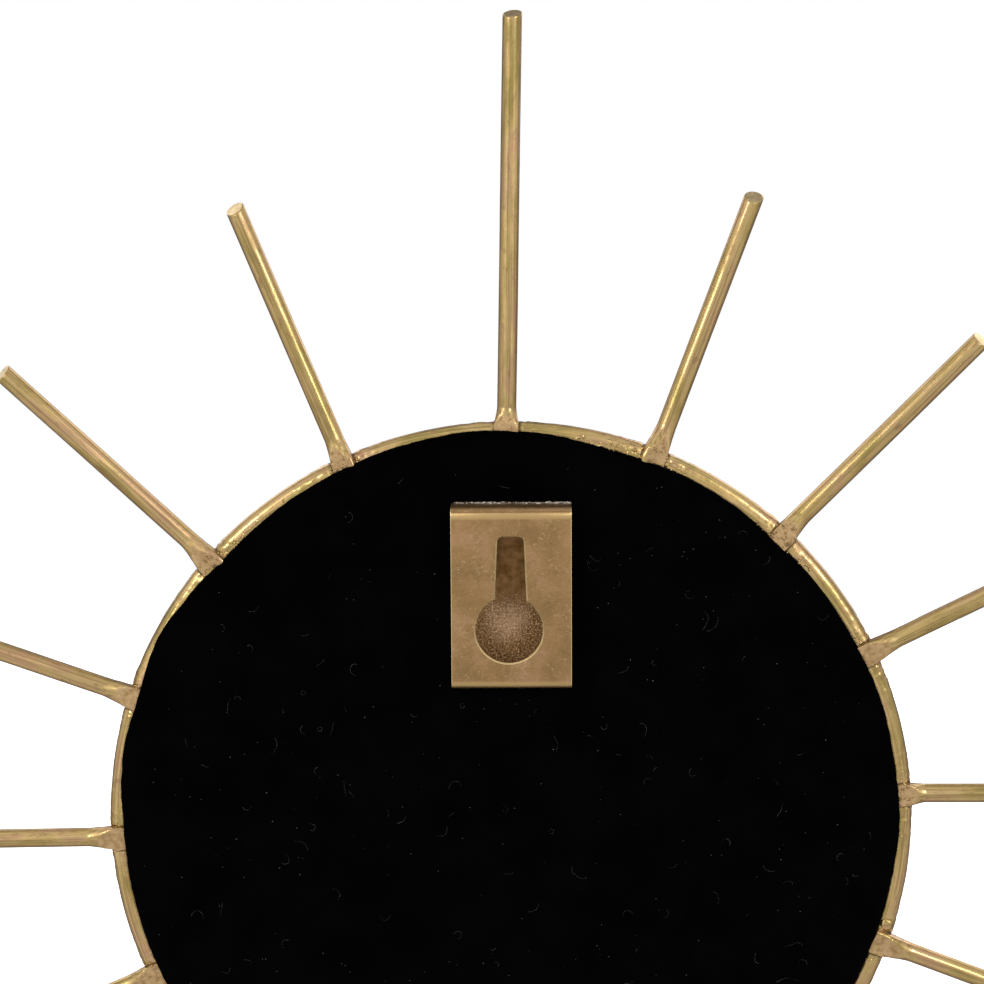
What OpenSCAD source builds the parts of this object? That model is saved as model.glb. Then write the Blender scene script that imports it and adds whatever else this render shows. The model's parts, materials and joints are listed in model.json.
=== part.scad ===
// Sunburst wall clock: a brass ring with sixteen brazed rod rays round a closed brass cup.
// A quartz clock insert is pressed into the cup from the front, and a keyhole plate hangs it.
//
// Frame: origin at the centre of the keyhole's round part, on the rear face of the hanger plate.
// +Z is up, the dial faces -Y and the wall is at Y = 0. Millimetres and degrees.
// Inside the modules, "depth" is the distance forward from the wall.

/* [Sunburst] */
// Outer radius of the brass ring
ring_outer_r = 68; // [66:0.5:74]
// Diameter of the ring's rod and of the ray rods
rod_d = 3.2; // [3:0.1:3.4]
// Distance from the clock's axis to the tip of a short ray
ray_short_r = 113.5; // [95:0.5:120]
// Distance from the clock's axis to the tip of a long ray
ray_long_r = 135.3; // [121:0.1:150]
// Width of a ray's hammered foot where it meets the ring
foot_w = 4.4; // [3.8:0.1:5.6]
// Length over which a ray's foot widens
foot_run = 5; // [4:0.5:14]

/* [Hanger] */
// Height of the keyhole's round part above the clock's axis
hanger_rise = 34.2; // [30:0.1:38]
// Width of the hanger plate
hanger_w = 20; // [18:0.5:24]
// Height of the hanger plate
hanger_h = 30.6; // [29:0.1:34]
// How far the hanger plate reaches below the centre of the keyhole's round part
hanger_below = 10.1; // [9.6:0.1:10.5]
// Thickness of the hanger's sheet
hanger_t = 1.2; // [1:0.1:1.4]
// Diameter of the keyhole's round part
keyhole_d = 11.2; // [10:0.1:13]
// Width of the keyhole's slot at its top
slot_top_w = 4.4; // [4.3:0.1:5]
// Width of the keyhole's slot where it leaves the round part
slot_low_w = 5.2; // [5:0.1:6]
// Height of the slot's end above the round part's centre
slot_reach = 15.6; // [13:0.1:16]

/* [Cup] */
// Depth of the cup's back face from the wall
cup_back = 6; // [6:0.1:7]
// Depth of the cup's rim from the wall
cup_rim = 29; // [29:0.5:31]
// How much smaller the cup's radius is at the rim than at the back
cup_taper = 2.2; // [1.5:0.1:3]
// Thickness of the cup's sheet
cup_t = 1; // [0.8:0.1:1.2]
// Radius of the velvet cover
velvet_r = 66; // [64.9:0.1:66.5]
// Thickness of the velvet cover
velvet_t = 1.1; // [0.8:0.1:1.3]

/* [Insert] */
// Side of the square movement
movement_side = 56; // [55.4:0.2:57]
// Thickness of the dial
dial_t = 0.8; // [0.6:0.1:0.9]
// Thickness of the lens
lens_t = 1.5; // [1.2:0.1:1.6]
// How far the bezel stands in front of the cup's rim
bezel_depth = 7.4; // [7.2:0.1:8]

/* [Hands] */
// Hour, minute and second that the hands show
shown_time = [10, 10, 35];
// Length of the hour hand from the axis
hour_hand_len = 31; // [26:1:36]
// Length of the minute hand from the axis
minute_hand_len = 46; // [40:1:50]
// Length of the second hand from the axis
second_hand_len = 49; // [40:1:52]

/* [Hidden] */
rays = 16;
ray_names = [for (i = [1 : rays]) str("ray_", i < 10 ? "0" : "", i)];

$fn = 96;
fine = 240;      // large visible rounds
cut = 0.5;       // how far a cutting shape passes the face it cuts
fit = 0.05;      // radial clearance of a running fit
gap = 0.4;       // clearance between pieces that move past each other

brass = "#b8925a";
polished_brass = "#c8a868";
velvet_black = "#08080b";
dial_cream = "#efe8d6";
hand_black = "#161412";
case_plastic = "#2b2d30";
gear_white = "#e4e2da";
steel = "#b9bcc0";

// ---- Ring and rays ----
rod_r = rod_d/2;
ring_r = ring_outer_r - rod_r;
ring_depth = cup_back + 0.5 + rod_r;
foot_depth = 3;              // thickness of the foot at the ring
foot_start_r = ring_outer_r + 0.1;
lap_r = ring_outer_r - 2.8;  // how far in the foot's tab laps over the ring
lap_t = 0.5;
// The rays were set by eye. Each has an offset of its root from an even spacing,
// and a lean of its rod from the radius through that root, going round from +X.
root_offset = [-2.6, -3.9, -3.2, -1.7, -0.3, -1.0, -1.8, -2.9,
               -3.7, -3.5, -3.0, -2.7, -2.3, -1.9, -1.5, -1.6];
ray_lean = [1.7, 0.7, 1.1, 1.8, 1.4, -0.9, 1.8, -0.7,
            3.8, 1.9, 0.6, -0.8, 1.0, 0.4, -1.1, 0.9];
function ray_root(i) = i*360/rays + root_offset[i];
function ray_tip_r(i) = i % 4 == 0 ? ray_long_r : ray_short_r;
// Length of a leaning rod from radius r0 on the ring out to radius r1.
function rod_len(r0, r1, lean) = sqrt(pow(r1, 2) - pow(r0*sin(lean), 2)) - r0*cos(lean);

// ---- Hanger and velvet ----
hanger_low = -hanger_below;
hanger_off = -0.4;                // the plate was cut a little off its keyhole
slot_off = -0.3;                  // and the slot was punched a little to one side
velvet_slack = 0.5;               // how much larger the velvet's cut-out is, on each side

// ---- Cup ----
cup_back_r = ring_outer_r - rod_d - 0.1;
cup_rim_r = cup_back_r - cup_taper;
rim_inner_r = cup_rim_r - cup_t;
bead_r = 0.8;

// ---- Insert ----
bezel_back = cup_rim + 0.2;
bezel_front = bezel_back + bezel_depth;
bezel_r = cup_rim_r + 0.1;
sight_r = cup_rim_r - 6.1;        // radius of the dial that shows
lens_r = sight_r + 2.4;
lens_front = bezel_front - 1.4;
lens_back = lens_front - lens_t;
front_plate = cup_rim - 4;        // depth of the movement's front face
pan_t = 0.7;
pan_r = rim_inner_r - 2;
pan_bore_r = pan_r - pan_t;
flange_r = rim_inner_r - 0.1;
flange_front = bezel_back + 2.5;
dial_back = front_plate + pan_t;
dial_front = dial_back + dial_t;
dial_r = pan_bore_r - 0.3;
gasket_r = rim_inner_r - gap;

// ---- Movement: "level" is the distance back from the movement's front face ----
half_side = movement_side/2;
wall = 1.2;
inner_half = half_side - wall;
case_back_level = 14.8;
cover_t = 1.2;
bay_top = -11.6;                  // underside of the wall over the battery
bay_wall_t = 1;
gear_t = 0.8;
pinion_t = 1.4;
pivot_r = 0.3;
pivot_sink = 0.5;                 // level of the pivot holes' floors in the front wall
arbor_r = 0.5;
bridge_level = 12.4;
bridge_t = 0.8;
hour_level = 1.8;
cannon_level = 2.9;
motion_level = 3.1;
centre_level = 4.5;
third_level = 7.0;
second_level = 8.8;
fifth_level = 10.6;
rotor_level = 3.2;
bush_r = 4;
bush_front = dial_front + 2.1;
hour_pipe_r = 2.4;
cannon_r = 1.5;
hand_t = 0.4;
hour_hand_back = bush_front + 0.5;
minute_hand_back = hour_hand_back + 1.3;
second_hand_back = minute_hand_back + 1.2;

// Gear train: tooth counts, and modules from the centre distances
train_distance = 9;
motion_distance = 7.5;
rotor_distance = 8.75;
rotor_teeth = 10;
fifth_teeth = 60;
fifth_pinion = 12;
second_teeth = 60;
second_pinion = 8;
third_teeth = 60;
third_pinion = 8;
centre_teeth = 64;
cannon_teeth = 12;
motion_teeth = 36;
motion_pinion = 10;
hour_teeth = 40;
knob_teeth = 12;
function pair_module(distance, n1, n2) = 2*distance/(n1 + n2);
rotor_m = pair_module(rotor_distance, rotor_teeth, fifth_teeth);
fifth_m = pair_module(train_distance, fifth_pinion, second_teeth);
second_m = pair_module(train_distance, second_pinion, third_teeth);
third_m = pair_module(train_distance, third_pinion, centre_teeth);
cannon_m = pair_module(motion_distance, cannon_teeth, motion_teeth);
hour_m = pair_module(motion_distance, motion_pinion, hour_teeth);

// Where the arbors stand, as directions from one arbor to the next
third_dir = 160;
fifth_dir = 50;
rotor_dir = 60;
motion_dir = 0;
knob_dir = -40;
function polar(r, a) = [r*cos(a), r*sin(a)];
third_at = polar(train_distance, third_dir);
fifth_at = polar(train_distance, fifth_dir);
rotor_at = fifth_at + polar(rotor_distance, rotor_dir);
motion_at = polar(motion_distance, motion_dir);
knob_at = motion_at + polar(motion_distance, knob_dir);

// The turn of gear 2 that meshes with gear 1, which stands at turn1.
// "toward" is the direction from gear 1's centre to gear 2's.
function mesh_turn(turn1, n1, toward, n2) =
    toward + 180 - (0.5 - (toward - turn1)*n1/360)*360/n2;
second_turn = 0;
fifth_turn = mesh_turn(second_turn, second_teeth, fifth_dir, fifth_pinion);
rotor_turn = mesh_turn(fifth_turn, fifth_teeth, rotor_dir, rotor_teeth);
third_turn = mesh_turn(second_turn, second_pinion, third_dir, third_teeth);
centre_turn = mesh_turn(third_turn, third_pinion, third_dir + 180, centre_teeth);
cannon_turn = 0;
motion_turn = mesh_turn(cannon_turn, cannon_teeth, motion_dir, motion_teeth);
hour_turn = mesh_turn(motion_turn, motion_pinion, motion_dir + 180, hour_teeth);
knob_turn = mesh_turn(motion_turn, motion_teeth, knob_dir, knob_teeth);

// Battery: one round cell lying across the foot of the movement
cell_r = 7.25;
cell_len = 49.2;
cell_nub = [2.7, 1.2];
cell_at = [0, -19.5];
cell_level = 8.7;

// Motor
stator_level = 4;
stator_t = 1;
stator_bore_r = 3;
magnet_r = 2.4;
arm_x = 16.5;
core_y = 21;
core_t = 1;
coil_r = 3.5;
coil_from = -12;
coil_len = 17;
post_r = 1.5;
stud_r = 0.8;                     // the fixed stud that the motion wheel turns on
screw_r = 0.7;
posts = [[-14.5, -8.6], [-16.6, 9.4], [19.6, 5], [8, -9.1]];

// Hand angles, clockwise from 12
second_angle = shown_time[2]*6;
minute_angle = shown_time[1]*6 + shown_time[2]/10;
hour_angle = shown_time[0]*30 + shown_time[1]/2 + shown_time[2]/120;

// ---- Helpers ----

// Moves a shape drawn in the dial's plane to the clock's axis: X is right, Y is up, Z is depth.
module on_axis() {
    translate([0, 0, -hanger_rise]) rotate([90, 0, 0]) children();
}

// Places a shape in the movement, its Z = 0 at a level and growing towards the back.
module at_level(level, at = [0, 0]) {
    translate([at[0], at[1], front_plate - level]) mirror([0, 0, 1]) children();
}

module disc(r, back, front, detail = $fn) {
    translate([0, 0, back]) cylinder(r = r, h = front - back, $fn = detail);
}

module tube(r, bore, back, front, detail = $fn) {
    difference() {
        disc(r, back, front, detail);
        disc(bore, back - cut, front + cut, detail);
    }
}

// A turned piece, from points of [radius, depth].
module turned(profile, detail = fine) {
    rotate_extrude($fn = detail) polygon(profile);
}

function arc(centre, r, from, to, steps) =
    [for (i = [0 : steps]) centre + polar(r, from + (to - from)*i/steps)];

// A rectangle with rounded corners, as one outline.
function rounded(w, h, r, steps = 8) = concat(
    arc([w/2 - r, h/2 - r], r, 0, 90, steps), arc([r - w/2, h/2 - r], r, 90, 180, steps),
    arc([r - w/2, r - h/2], r, 180, 270, steps), arc([w/2 - r, r - h/2], r, 270, 360, steps));

// A spur gear with slim, straight-sided teeth.
module gear(teeth, m, turn, thick) {
    pitch = 360/teeth;
    root_r = m*(teeth/2 - 1);
    tip_r = m*(teeth/2 + 0.7);
    linear_extrude(thick) polygon([
        for (i = [0 : teeth - 1]) let (a = turn + i*pitch) each [
            polar(root_r, a - 0.27*pitch), polar(tip_r, a - 0.12*pitch),
            polar(tip_r, a + 0.12*pitch), polar(root_r, a + 0.27*pitch)]]);
}

// An arbor between the movement's front wall and the train bridge, with a thin pivot at each end.
module arbor(at) {
    shake = 0.1;
    at_level(wall + shake, at) cylinder(r = arbor_r, h = bridge_level - wall - 2*shake);
    at_level(pivot_sink + shake, at) cylinder(r = pivot_r, h = bridge_level + 0.6 - pivot_sink);
}

// ---- Sunburst ----

module ring() {
    color(brass) on_axis()
        translate([0, 0, ring_depth]) rotate_extrude($fn = fine)
            translate([ring_r, 0]) circle(r = rod_r, $fn = 48);
}

// One ray: a round rod whose foot is hammered wide and laps over the back of the ring.
module ray(i) {
    lean = ray_lean[i];
    foot_end = rod_len(ring_r, foot_start_r + foot_run, lean);
    foot_from = rod_len(ring_r, foot_start_r, lean);
    tip = rod_len(ring_r, ray_tip_r(i), lean);
    color(brass) on_axis()
        rotate(ray_root(i)) translate([ring_r, 0, 0]) rotate(lean) {
            translate([foot_end, 0, ring_depth]) rotate([0, 90, 0])
                cylinder(r = rod_r, h = tip - foot_end, $fn = 48);
            hull() {
                translate([foot_end - 0.01, 0, ring_depth]) rotate([0, 90, 0])
                    cylinder(r = rod_r, h = 0.02, $fn = 32);
                translate([foot_from, -foot_w/2, cup_back])
                    cube([0.02, foot_w, foot_depth]);
            }
            translate([lap_r - ring_r, -foot_w/2, cup_back])
                cube([foot_from - lap_r + ring_r, foot_w, lap_t]);
        }
}

// ---- Case ----

// The spun cup: closed at the back, with a bead rolled on its rim.
module case_cup() {
    color(brass) on_axis() difference() {
        union() {
            turned([[0, cup_back], [cup_back_r - 0.8, cup_back], [cup_back_r, cup_back + 0.8],
                    [cup_rim_r, cup_rim], [0, cup_rim]]);
            rotate_extrude($fn = fine) translate([cup_rim_r, cup_rim - bead_r])
                circle(r = bead_r, $fn = 32);
        }
        turned([[0, cup_back + cup_t], [cup_back_r - cup_t - 0.4, cup_back + cup_t],
                [cup_back_r - cup_t, cup_back + cup_t + 0.4], [rim_inner_r, cup_rim],
                [rim_inner_r, cup_rim + cut], [0, cup_rim + cut]]);
    }
}

module velvet_backing() {
    color(velvet_black) difference() {
        on_axis() disc(velvet_r, cup_back - velvet_t, cup_back, fine);
        translate([hanger_off - hanger_w/2 - velvet_slack, -cup_back - cut,
                   hanger_low - velvet_slack])
            cube([hanger_w + 2*velvet_slack, velvet_t + 2*cut, hanger_h + 2*velvet_slack]);
    }
}

// The outline of the slot above the keyhole's round part, with small round corners at its end.
module slot_outline() {
    corner = 0.9;
    translate([slot_off, 0]) polygon(concat(
        [[-slot_low_w/2, 0], [slot_low_w/2, 0], [slot_low_w/2, keyhole_d/2 - 0.6]],
        arc([slot_top_w/2 - corner, slot_reach - corner], corner, 0, 90, 6),
        arc([corner - slot_top_w/2, slot_reach - corner], corner, 90, 180, 6),
        [[-slot_low_w/2, keyhole_d/2 - 0.6]]));
}

// The hanger: a strip bent into a bridge, with its two legs soldered to the cup's back.
module hanger_plate() {
    bend_r = 1.5;
    top = hanger_low + hanger_h;
    color(polished_brass) difference() {
        translate([hanger_off - hanger_w/2, 0, 0]) rotate([90, 0, 90])
            linear_extrude(hanger_w) polygon(concat(
                [[-cup_back, top], [-cup_back, top - hanger_t],
                 [-bend_r, top - hanger_t], [-hanger_t, top - bend_r],
                 [-hanger_t, hanger_low + bend_r], [-bend_r, hanger_low + hanger_t],
                 [-cup_back, hanger_low + hanger_t], [-cup_back, hanger_low]],
                arc([-bend_r, hanger_low + bend_r], bend_r, 270, 360, 8),
                arc([-bend_r, top - bend_r], bend_r, 0, 90, 8)));
        translate([0, cut, 0]) rotate([90, 0, 0]) {
            cylinder(d = keyhole_d, h = hanger_t + 2*cut);
            linear_extrude(hanger_t + 2*cut) slot_outline();
        }
    }
}

// ---- Front of the insert ----

module bezel() {
    roll = bezel_front - flange_front - 0.8;
    color(polished_brass) on_axis() turned(concat(
        [[bezel_r, bezel_back], [bezel_r, flange_front + 0.3]],
        [for (i = [0 : 12]) let (a = 90*i/12)
            [sight_r + 1.2 + (bezel_r - sight_r - 1.2)*cos(a), bezel_front - roll + roll*sin(a)]],
        [[sight_r, bezel_front - 0.4], [sight_r, lens_front], [lens_r + 0.05, lens_front],
         [lens_r + 0.05, flange_front + 0.05], [flange_r + 0.05, flange_front + 0.05],
         [flange_r + 0.05, flange_front - pan_t - 0.05],
         [flange_r - 0.6, flange_front - pan_t - 0.05], [flange_r - 0.6, bezel_back]]));
}

module lens() {
    color("#dfe8ea", 0.35) on_axis() disc(lens_r, lens_back, lens_front, fine);
}

// The sloping ring that holds the dial and the lens apart.
module dial_ring() {
    color(dial_cream) on_axis() turned([
        [sight_r - 0.6, dial_front], [dial_r, dial_front], [dial_r, lens_back],
        [sight_r + 0.6, lens_back]]);
}

module dial() {
    color(dial_cream) on_axis() tube(dial_r, bush_r + 0.05, dial_back, dial_front, fine);
}

// The pan that carries the dial, with the flange that the bezel is crimped over.
module insert_pan() {
    color(steel) on_axis() turned([
        [bush_r + 0.05, front_plate], [pan_r, front_plate], [pan_r, flange_front - pan_t],
        [flange_r, flange_front - pan_t], [flange_r, flange_front],
        [pan_bore_r, flange_front], [pan_bore_r, dial_back], [bush_r + 0.05, dial_back]]);
}

// The rubber band with three lips that grips the cup.
module insert_gasket() {
    lips = 3;
    lip_pitch = 1;
    base_r = pan_r + 0.7;
    start = bezel_back - 3.3;
    color("#1a1a1c") on_axis() turned(concat(
        [[pan_r, start + lips*lip_pitch], [pan_r, start]],
        [for (i = [0 : lips - 1]) let (d = start + i*lip_pitch) each [
            [base_r, d], [gasket_r, d + 0.45], [gasket_r, d + 0.65], [base_r, d + 0.9]]],
        [[base_r, start + lips*lip_pitch]]));
}

module dial_washer() {
    color(steel) on_axis() tube(6.6, bush_r, dial_front, dial_front + 0.3);
}

module dial_nut() {
    color(polished_brass) on_axis() difference() {
        disc(6.2, dial_front + 0.3, dial_front + 1.8, 6);
        disc(bush_r, dial_front, dial_front + 2);
    }
}

module centre_bush() {
    color(polished_brass) on_axis() difference() {
        union() {
            disc(bush_r, front_plate - wall, bush_front);
            disc(bush_r + 1, front_plate - wall - 0.3, front_plate - wall);
        }
        disc(hour_pipe_r + fit, front_plate - wall - 1, bush_front + cut);
    }
}

// ---- Movement housing ----

module movement_case() {
    color(case_plastic) on_axis() difference() {
        union() {
            difference() {
                at_level(0) linear_extrude(case_back_level)
                    polygon(rounded(movement_side, movement_side, 3));
                at_level(wall) linear_extrude(case_back_level) difference() {
                    polygon(rounded(2*inner_half, 2*inner_half, 1.8));
                    translate([-half_side, bay_top])
                        square([movement_side, bay_wall_t]);
                }
            }
            for (p = posts) at_level(wall - 0.1, p)
                cylinder(r = post_r, h = bridge_level - wall + 0.1);
            for (x = [-arm_x, arm_x]) at_level(wall - 0.1, [x, core_y])
                cylinder(r = post_r, h = stator_level - wall + 0.1);
            at_level(wall - 0.1, motion_at)
                cylinder(r = stud_r, h = motion_level + gear_t - wall);
        }
        at_level(-cut) cylinder(r = bush_r, h = wall + 2*cut);
        for (p = [third_at, fifth_at, rotor_at, knob_at]) at_level(pivot_sink, p)
            cylinder(r = pivot_r + fit, h = wall);
        for (p = posts) at_level(bridge_level - 5, p) cylinder(r = screw_r, h = 6);
        for (x = [-arm_x, arm_x]) at_level(wall, [x, core_y]) cylinder(r = screw_r, h = 6);
    }
}

module movement_cover() {
    color(case_plastic) on_axis() difference() {
        at_level(case_back_level) linear_extrude(cover_t) intersection() {
            polygon(rounded(movement_side, movement_side, 3));
            translate([-half_side, bay_top]) square([movement_side, movement_side]);
        }
        at_level(case_back_level - cut, knob_at) cylinder(r = 1 + fit, h = cover_t + 2*cut);
    }
}

module train_bridge() {
    color(gear_white) on_axis() difference() {
        at_level(bridge_level) linear_extrude(bridge_t) union() {
            polygon([[-18.6, 9.6], [-17.2, 11], [21.6, 11], [21.6, 3], [15.5, -2],
                     [10.5, -10.6], [-16.6, -10.6], [-18.6, -8.6]]);
            polygon([[5, 10.5], [7, 17.6], [13.6, 17.6], [16, 10.5]]);
        }
        for (p = [[0, 0], third_at, fifth_at, rotor_at]) at_level(bridge_level - cut, p)
            cylinder(r = pivot_r + fit, h = bridge_t + 2*cut);
        at_level(bridge_level - cut, knob_at) cylinder(r = 1.4, h = bridge_t + 2*cut);
        for (p = posts) at_level(bridge_level - cut, p)
            cylinder(r = screw_r, h = bridge_t + 2*cut);
    }
}

// A small cheese-head screw with its head on the face at a level.
module small_screw(level, shank, at) {
    difference() {
        union() {
            at_level(level - shank, at) cylinder(r = screw_r, h = shank);
            at_level(level, at) cylinder(r = 1.3, h = 0.9);
        }
        at_level(level + 0.5, at) translate([-2, -0.2, 0]) cube([4, 0.4, 1]);
    }
}

module bridge_screws() {
    color(steel) on_axis() {
        for (p = posts) small_screw(bridge_level + bridge_t, 4, p);
        for (x = [-arm_x, arm_x])
            small_screw(stator_level + stator_t + core_t, 4, [x, core_y]);
    }
}

// ---- Circuit and motor ----

board_at = [-22.6, 1];
board_size = [7.2, 20];
board_level = 5;

module circuit_board() {
    color("#2f6b4a") on_axis() {
        at_level(board_level, board_at)
            translate([-board_size[0]/2, -board_size[1]/2, 0])
                cube([board_size[0], board_size[1], 0.8]);
        at_level(board_level + 0.8, board_at + [0, -4]) cylinder(r = 2.2, h = 1);
    }
}

module quartz_crystal() {
    color(steel) on_axis() at_level(board_level + 1.9, board_at + [0, 0.5])
        rotate([-90, 0, 0]) cylinder(r = 1, h = 6.5);
}

module coil_core() {
    color(steel) on_axis() difference() {
        at_level(stator_level + stator_t) translate([-arm_x - 2.5, core_y - 1.6, 0])
            cube([2*arm_x + 5, 3.2, core_t]);
        for (x = [-arm_x, arm_x]) at_level(stator_level, [x, core_y])
            cylinder(r = screw_r, h = 4);
    }
}

module motor_coil() {
    color("#9c5a2c") on_axis() difference() {
        at_level(stator_level + stator_t + core_t/2) translate([coil_from, core_y, 0])
            rotate([0, 90, 0]) cylinder(r = coil_r, h = coil_len);
        at_level(stator_level + stator_t) translate([coil_from - cut, core_y - 1.6, 0])
            cube([coil_len + 2*cut, 3.2, core_t]);
    }
}

module stator() {
    color(steel) on_axis() difference() {
        at_level(stator_level) linear_extrude(stator_t) union() {
            translate([-arm_x - 2.5, 12]) square([2*arm_x + 5, 5]);
            translate([-arm_x - 2.5, 12]) square([5, core_y - 9.5]);
            translate([arm_x - 2.5, 12]) square([5, core_y - 9.5]);
            translate(rotor_at) circle(r = stator_bore_r + 1.6);
        }
        at_level(stator_level - cut, rotor_at)
            cylinder(r = stator_bore_r, h = stator_t + 2*cut);
        for (x = [-arm_x, arm_x]) at_level(stator_level - cut, [x, core_y])
            cylinder(r = screw_r, h = 4);
    }
}

// ---- Battery ----

module battery() {
    color("#7d8288") on_axis() at_level(cell_level, cell_at) rotate([0, 90, 0]) {
        translate([0, 0, -cell_len/2]) cylinder(r = cell_r, h = cell_len);
        translate([0, 0, cell_len/2]) cylinder(r = cell_nub[0], h = cell_nub[1]);
    }
}

// A sheet contact at one end of the cell, with its dimple towards the cell.
module contact(side, reach) {
    color(steel) on_axis() at_level(cell_level, cell_at) {
        translate([side*(inner_half - 0.2) - 0.2, -5, -6]) cube([0.4, 10, 12]);
        translate([side*(inner_half - 0.3), 0, 0]) rotate([0, -side*90, 0])
            cylinder(r1 = 3, r2 = 2, h = reach, $fn = 48);
    }
}

module contact_positive() {
    contact(1, inner_half - 0.3 - cell_len/2 - cell_nub[1]);
}

module contact_negative() {
    contact(-1, inner_half - 0.3 - cell_len/2);
}

// ---- Gear train ----

module rotor() {
    color(steel) on_axis() {
        arbor(rotor_at);
        at_level(rotor_level, rotor_at) cylinder(r = magnet_r, h = 2.6);
        at_level(fifth_level - 0.3, rotor_at) gear(rotor_teeth, rotor_m, rotor_turn, pinion_t);
    }
}

module fifth_wheel() {
    color(gear_white) on_axis() {
        arbor(fifth_at);
        at_level(fifth_level, fifth_at) gear(fifth_teeth, rotor_m, fifth_turn, gear_t);
        at_level(second_level - 0.3, fifth_at)
            gear(fifth_pinion, fifth_m, fifth_turn, pinion_t);
    }
}

// The second hand's arbor runs through the whole clock, from the bridge to the hand.
module second_wheel() {
    color(gear_white) on_axis() {
        at_level(second_level) gear(second_teeth, fifth_m, second_turn, gear_t);
        at_level(third_level - 0.3) gear(second_pinion, second_m, second_turn, pinion_t);
        disc(arbor_r, front_plate - bridge_level + 0.1, second_hand_back + 0.2);
        disc(pivot_r, front_plate - bridge_level - 0.7, front_plate - bridge_level + 0.1);
    }
}

module third_wheel() {
    color(gear_white) on_axis() {
        arbor(third_at);
        at_level(third_level, third_at) gear(third_teeth, second_m, third_turn, gear_t);
        at_level(centre_level - 0.3, third_at)
            gear(third_pinion, third_m, third_turn, pinion_t);
    }
}

module centre_wheel() {
    color(gear_white) on_axis() difference() {
        at_level(centre_level) union() {
            gear(centre_teeth, third_m, centre_turn, gear_t);
            cylinder(r = 3, h = gear_t + 0.4);
        }
        at_level(centre_level - cut) cylinder(r = cannon_r + fit, h = 3);
    }
}

// The cannon pinion: its pipe carries the centre wheel behind and the minute hand in front.
module cannon_pinion() {
    color(polished_brass) on_axis() difference() {
        union() {
            at_level(cannon_level) gear(cannon_teeth, cannon_m, cannon_turn, 1.3);
            disc(cannon_r, front_plate - centre_level - 1.6, minute_hand_back + hand_t);
        }
        disc(arbor_r + fit, 0, lens_back);
    }
}

module motion_wheel() {
    color(gear_white) on_axis() difference() {
        union() {
            at_level(motion_level, motion_at) gear(motion_teeth, cannon_m, motion_turn, gear_t);
            at_level(hour_level - 0.2, motion_at)
                gear(motion_pinion, hour_m, motion_turn, motion_level - hour_level + 0.3);
        }
        at_level(0, motion_at) cylinder(r = stud_r + fit, h = motion_level + 2);
    }
}

module hour_wheel() {
    color(gear_white) on_axis() difference() {
        union() {
            at_level(hour_level) gear(hour_teeth, hour_m, hour_turn, gear_t);
            disc(hour_pipe_r, front_plate - hour_level - gear_t/2, hour_hand_back + hand_t);
        }
        disc(cannon_r + fit, 0, lens_back);
    }
}

// The knob that sets the time, on the back of the movement.
module setting_knob() {
    stem_r = 1;
    head = case_back_level + cover_t + 0.3;
    color("#d8d5cb") on_axis() {
        at_level(pivot_sink + 0.1, knob_at) cylinder(r = pivot_r, h = 1);
        at_level(wall + 0.1, knob_at) cylinder(r = stem_r, h = head - wall);
        at_level(motion_level - 0.2, knob_at) gear(knob_teeth, cannon_m, knob_turn, 1.2);
        at_level(head, knob_at) linear_extrude(0.9) polygon([
            for (i = [0 : 47]) polar(i % 4 < 2 ? 4.5 : 4.2, i*360/48)]);
    }
}

// ---- Hands ----

// A hand drawn pointing to 12, turned clockwise by an angle.
module hand(angle, back, thick) {
    translate([0, 0, back]) rotate(-angle) linear_extrude(thick) children();
}

// A lance-shaped blade from the hub to the tip.
module lance(length, width, tail) {
    polygon([[-0.7, -tail], [0.7, -tail], [0.9, 5], [width/2, length*0.62], [0.25, length],
             [-0.25, length], [-width/2, length*0.62], [-0.9, 5]]);
}

module hour_hand() {
    color(hand_black) on_axis() difference() {
        hand(hour_angle, hour_hand_back, hand_t) union() {
            lance(hour_hand_len, 5, 7);
            circle(r = 4.2);
        }
        disc(hour_pipe_r, hour_hand_back - cut, hour_hand_back + 1);
    }
}

module minute_hand() {
    color(hand_black) on_axis() difference() {
        hand(minute_angle, minute_hand_back, hand_t) union() {
            lance(minute_hand_len, 4, 8);
            circle(r = 3.4);
        }
        disc(cannon_r, minute_hand_back - cut, minute_hand_back + 1);
    }
}

module second_hand() {
    color(polished_brass) on_axis() difference() {
        union() {
            hand(second_angle, second_hand_back, hand_t) union() {
                polygon([[-0.6, -15], [0.6, -15], [0.25, second_hand_len],
                         [-0.25, second_hand_len]]);
                circle(r = 2.2);
                translate([0, -12]) circle(r = 2);
            }
            disc(1.3, second_hand_back - 0.3, second_hand_back + hand_t + 0.3);
        }
        disc(arbor_r, second_hand_back - 1, second_hand_back + 0.2);
    }
}

for (i = [0 : rays - 1]) ray(i);
ring();
case_cup();
velvet_backing();
hanger_plate();
bezel();
lens();
dial_ring();
dial();
insert_pan();
insert_gasket();
dial_washer();
dial_nut();
centre_bush();
movement_case();
movement_cover();
train_bridge();
bridge_screws();
circuit_board();
quartz_crystal();
motor_coil();
coil_core();
stator();
battery();
contact_positive();
contact_negative();
rotor();
fifth_wheel();
second_wheel();
third_wheel();
centre_wheel();
cannon_pinion();
motion_wheel();
hour_wheel();
setting_knob();
hour_hand();
minute_hand();
second_hand();
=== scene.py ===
"""Sunburst wall clock: its looks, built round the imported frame.

Everything is in metres and in the frame's own axes: +Z is up, the wall is on the +Y side and the dial
faces -Y. "Depth" is the distance forward from the wall, and "up" is measured from the clock's axis.
"""

import json
import math
import random

import bpy
import bmesh
import numpy as np
from mathutils import Matrix, Vector, geometry, noise

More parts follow.
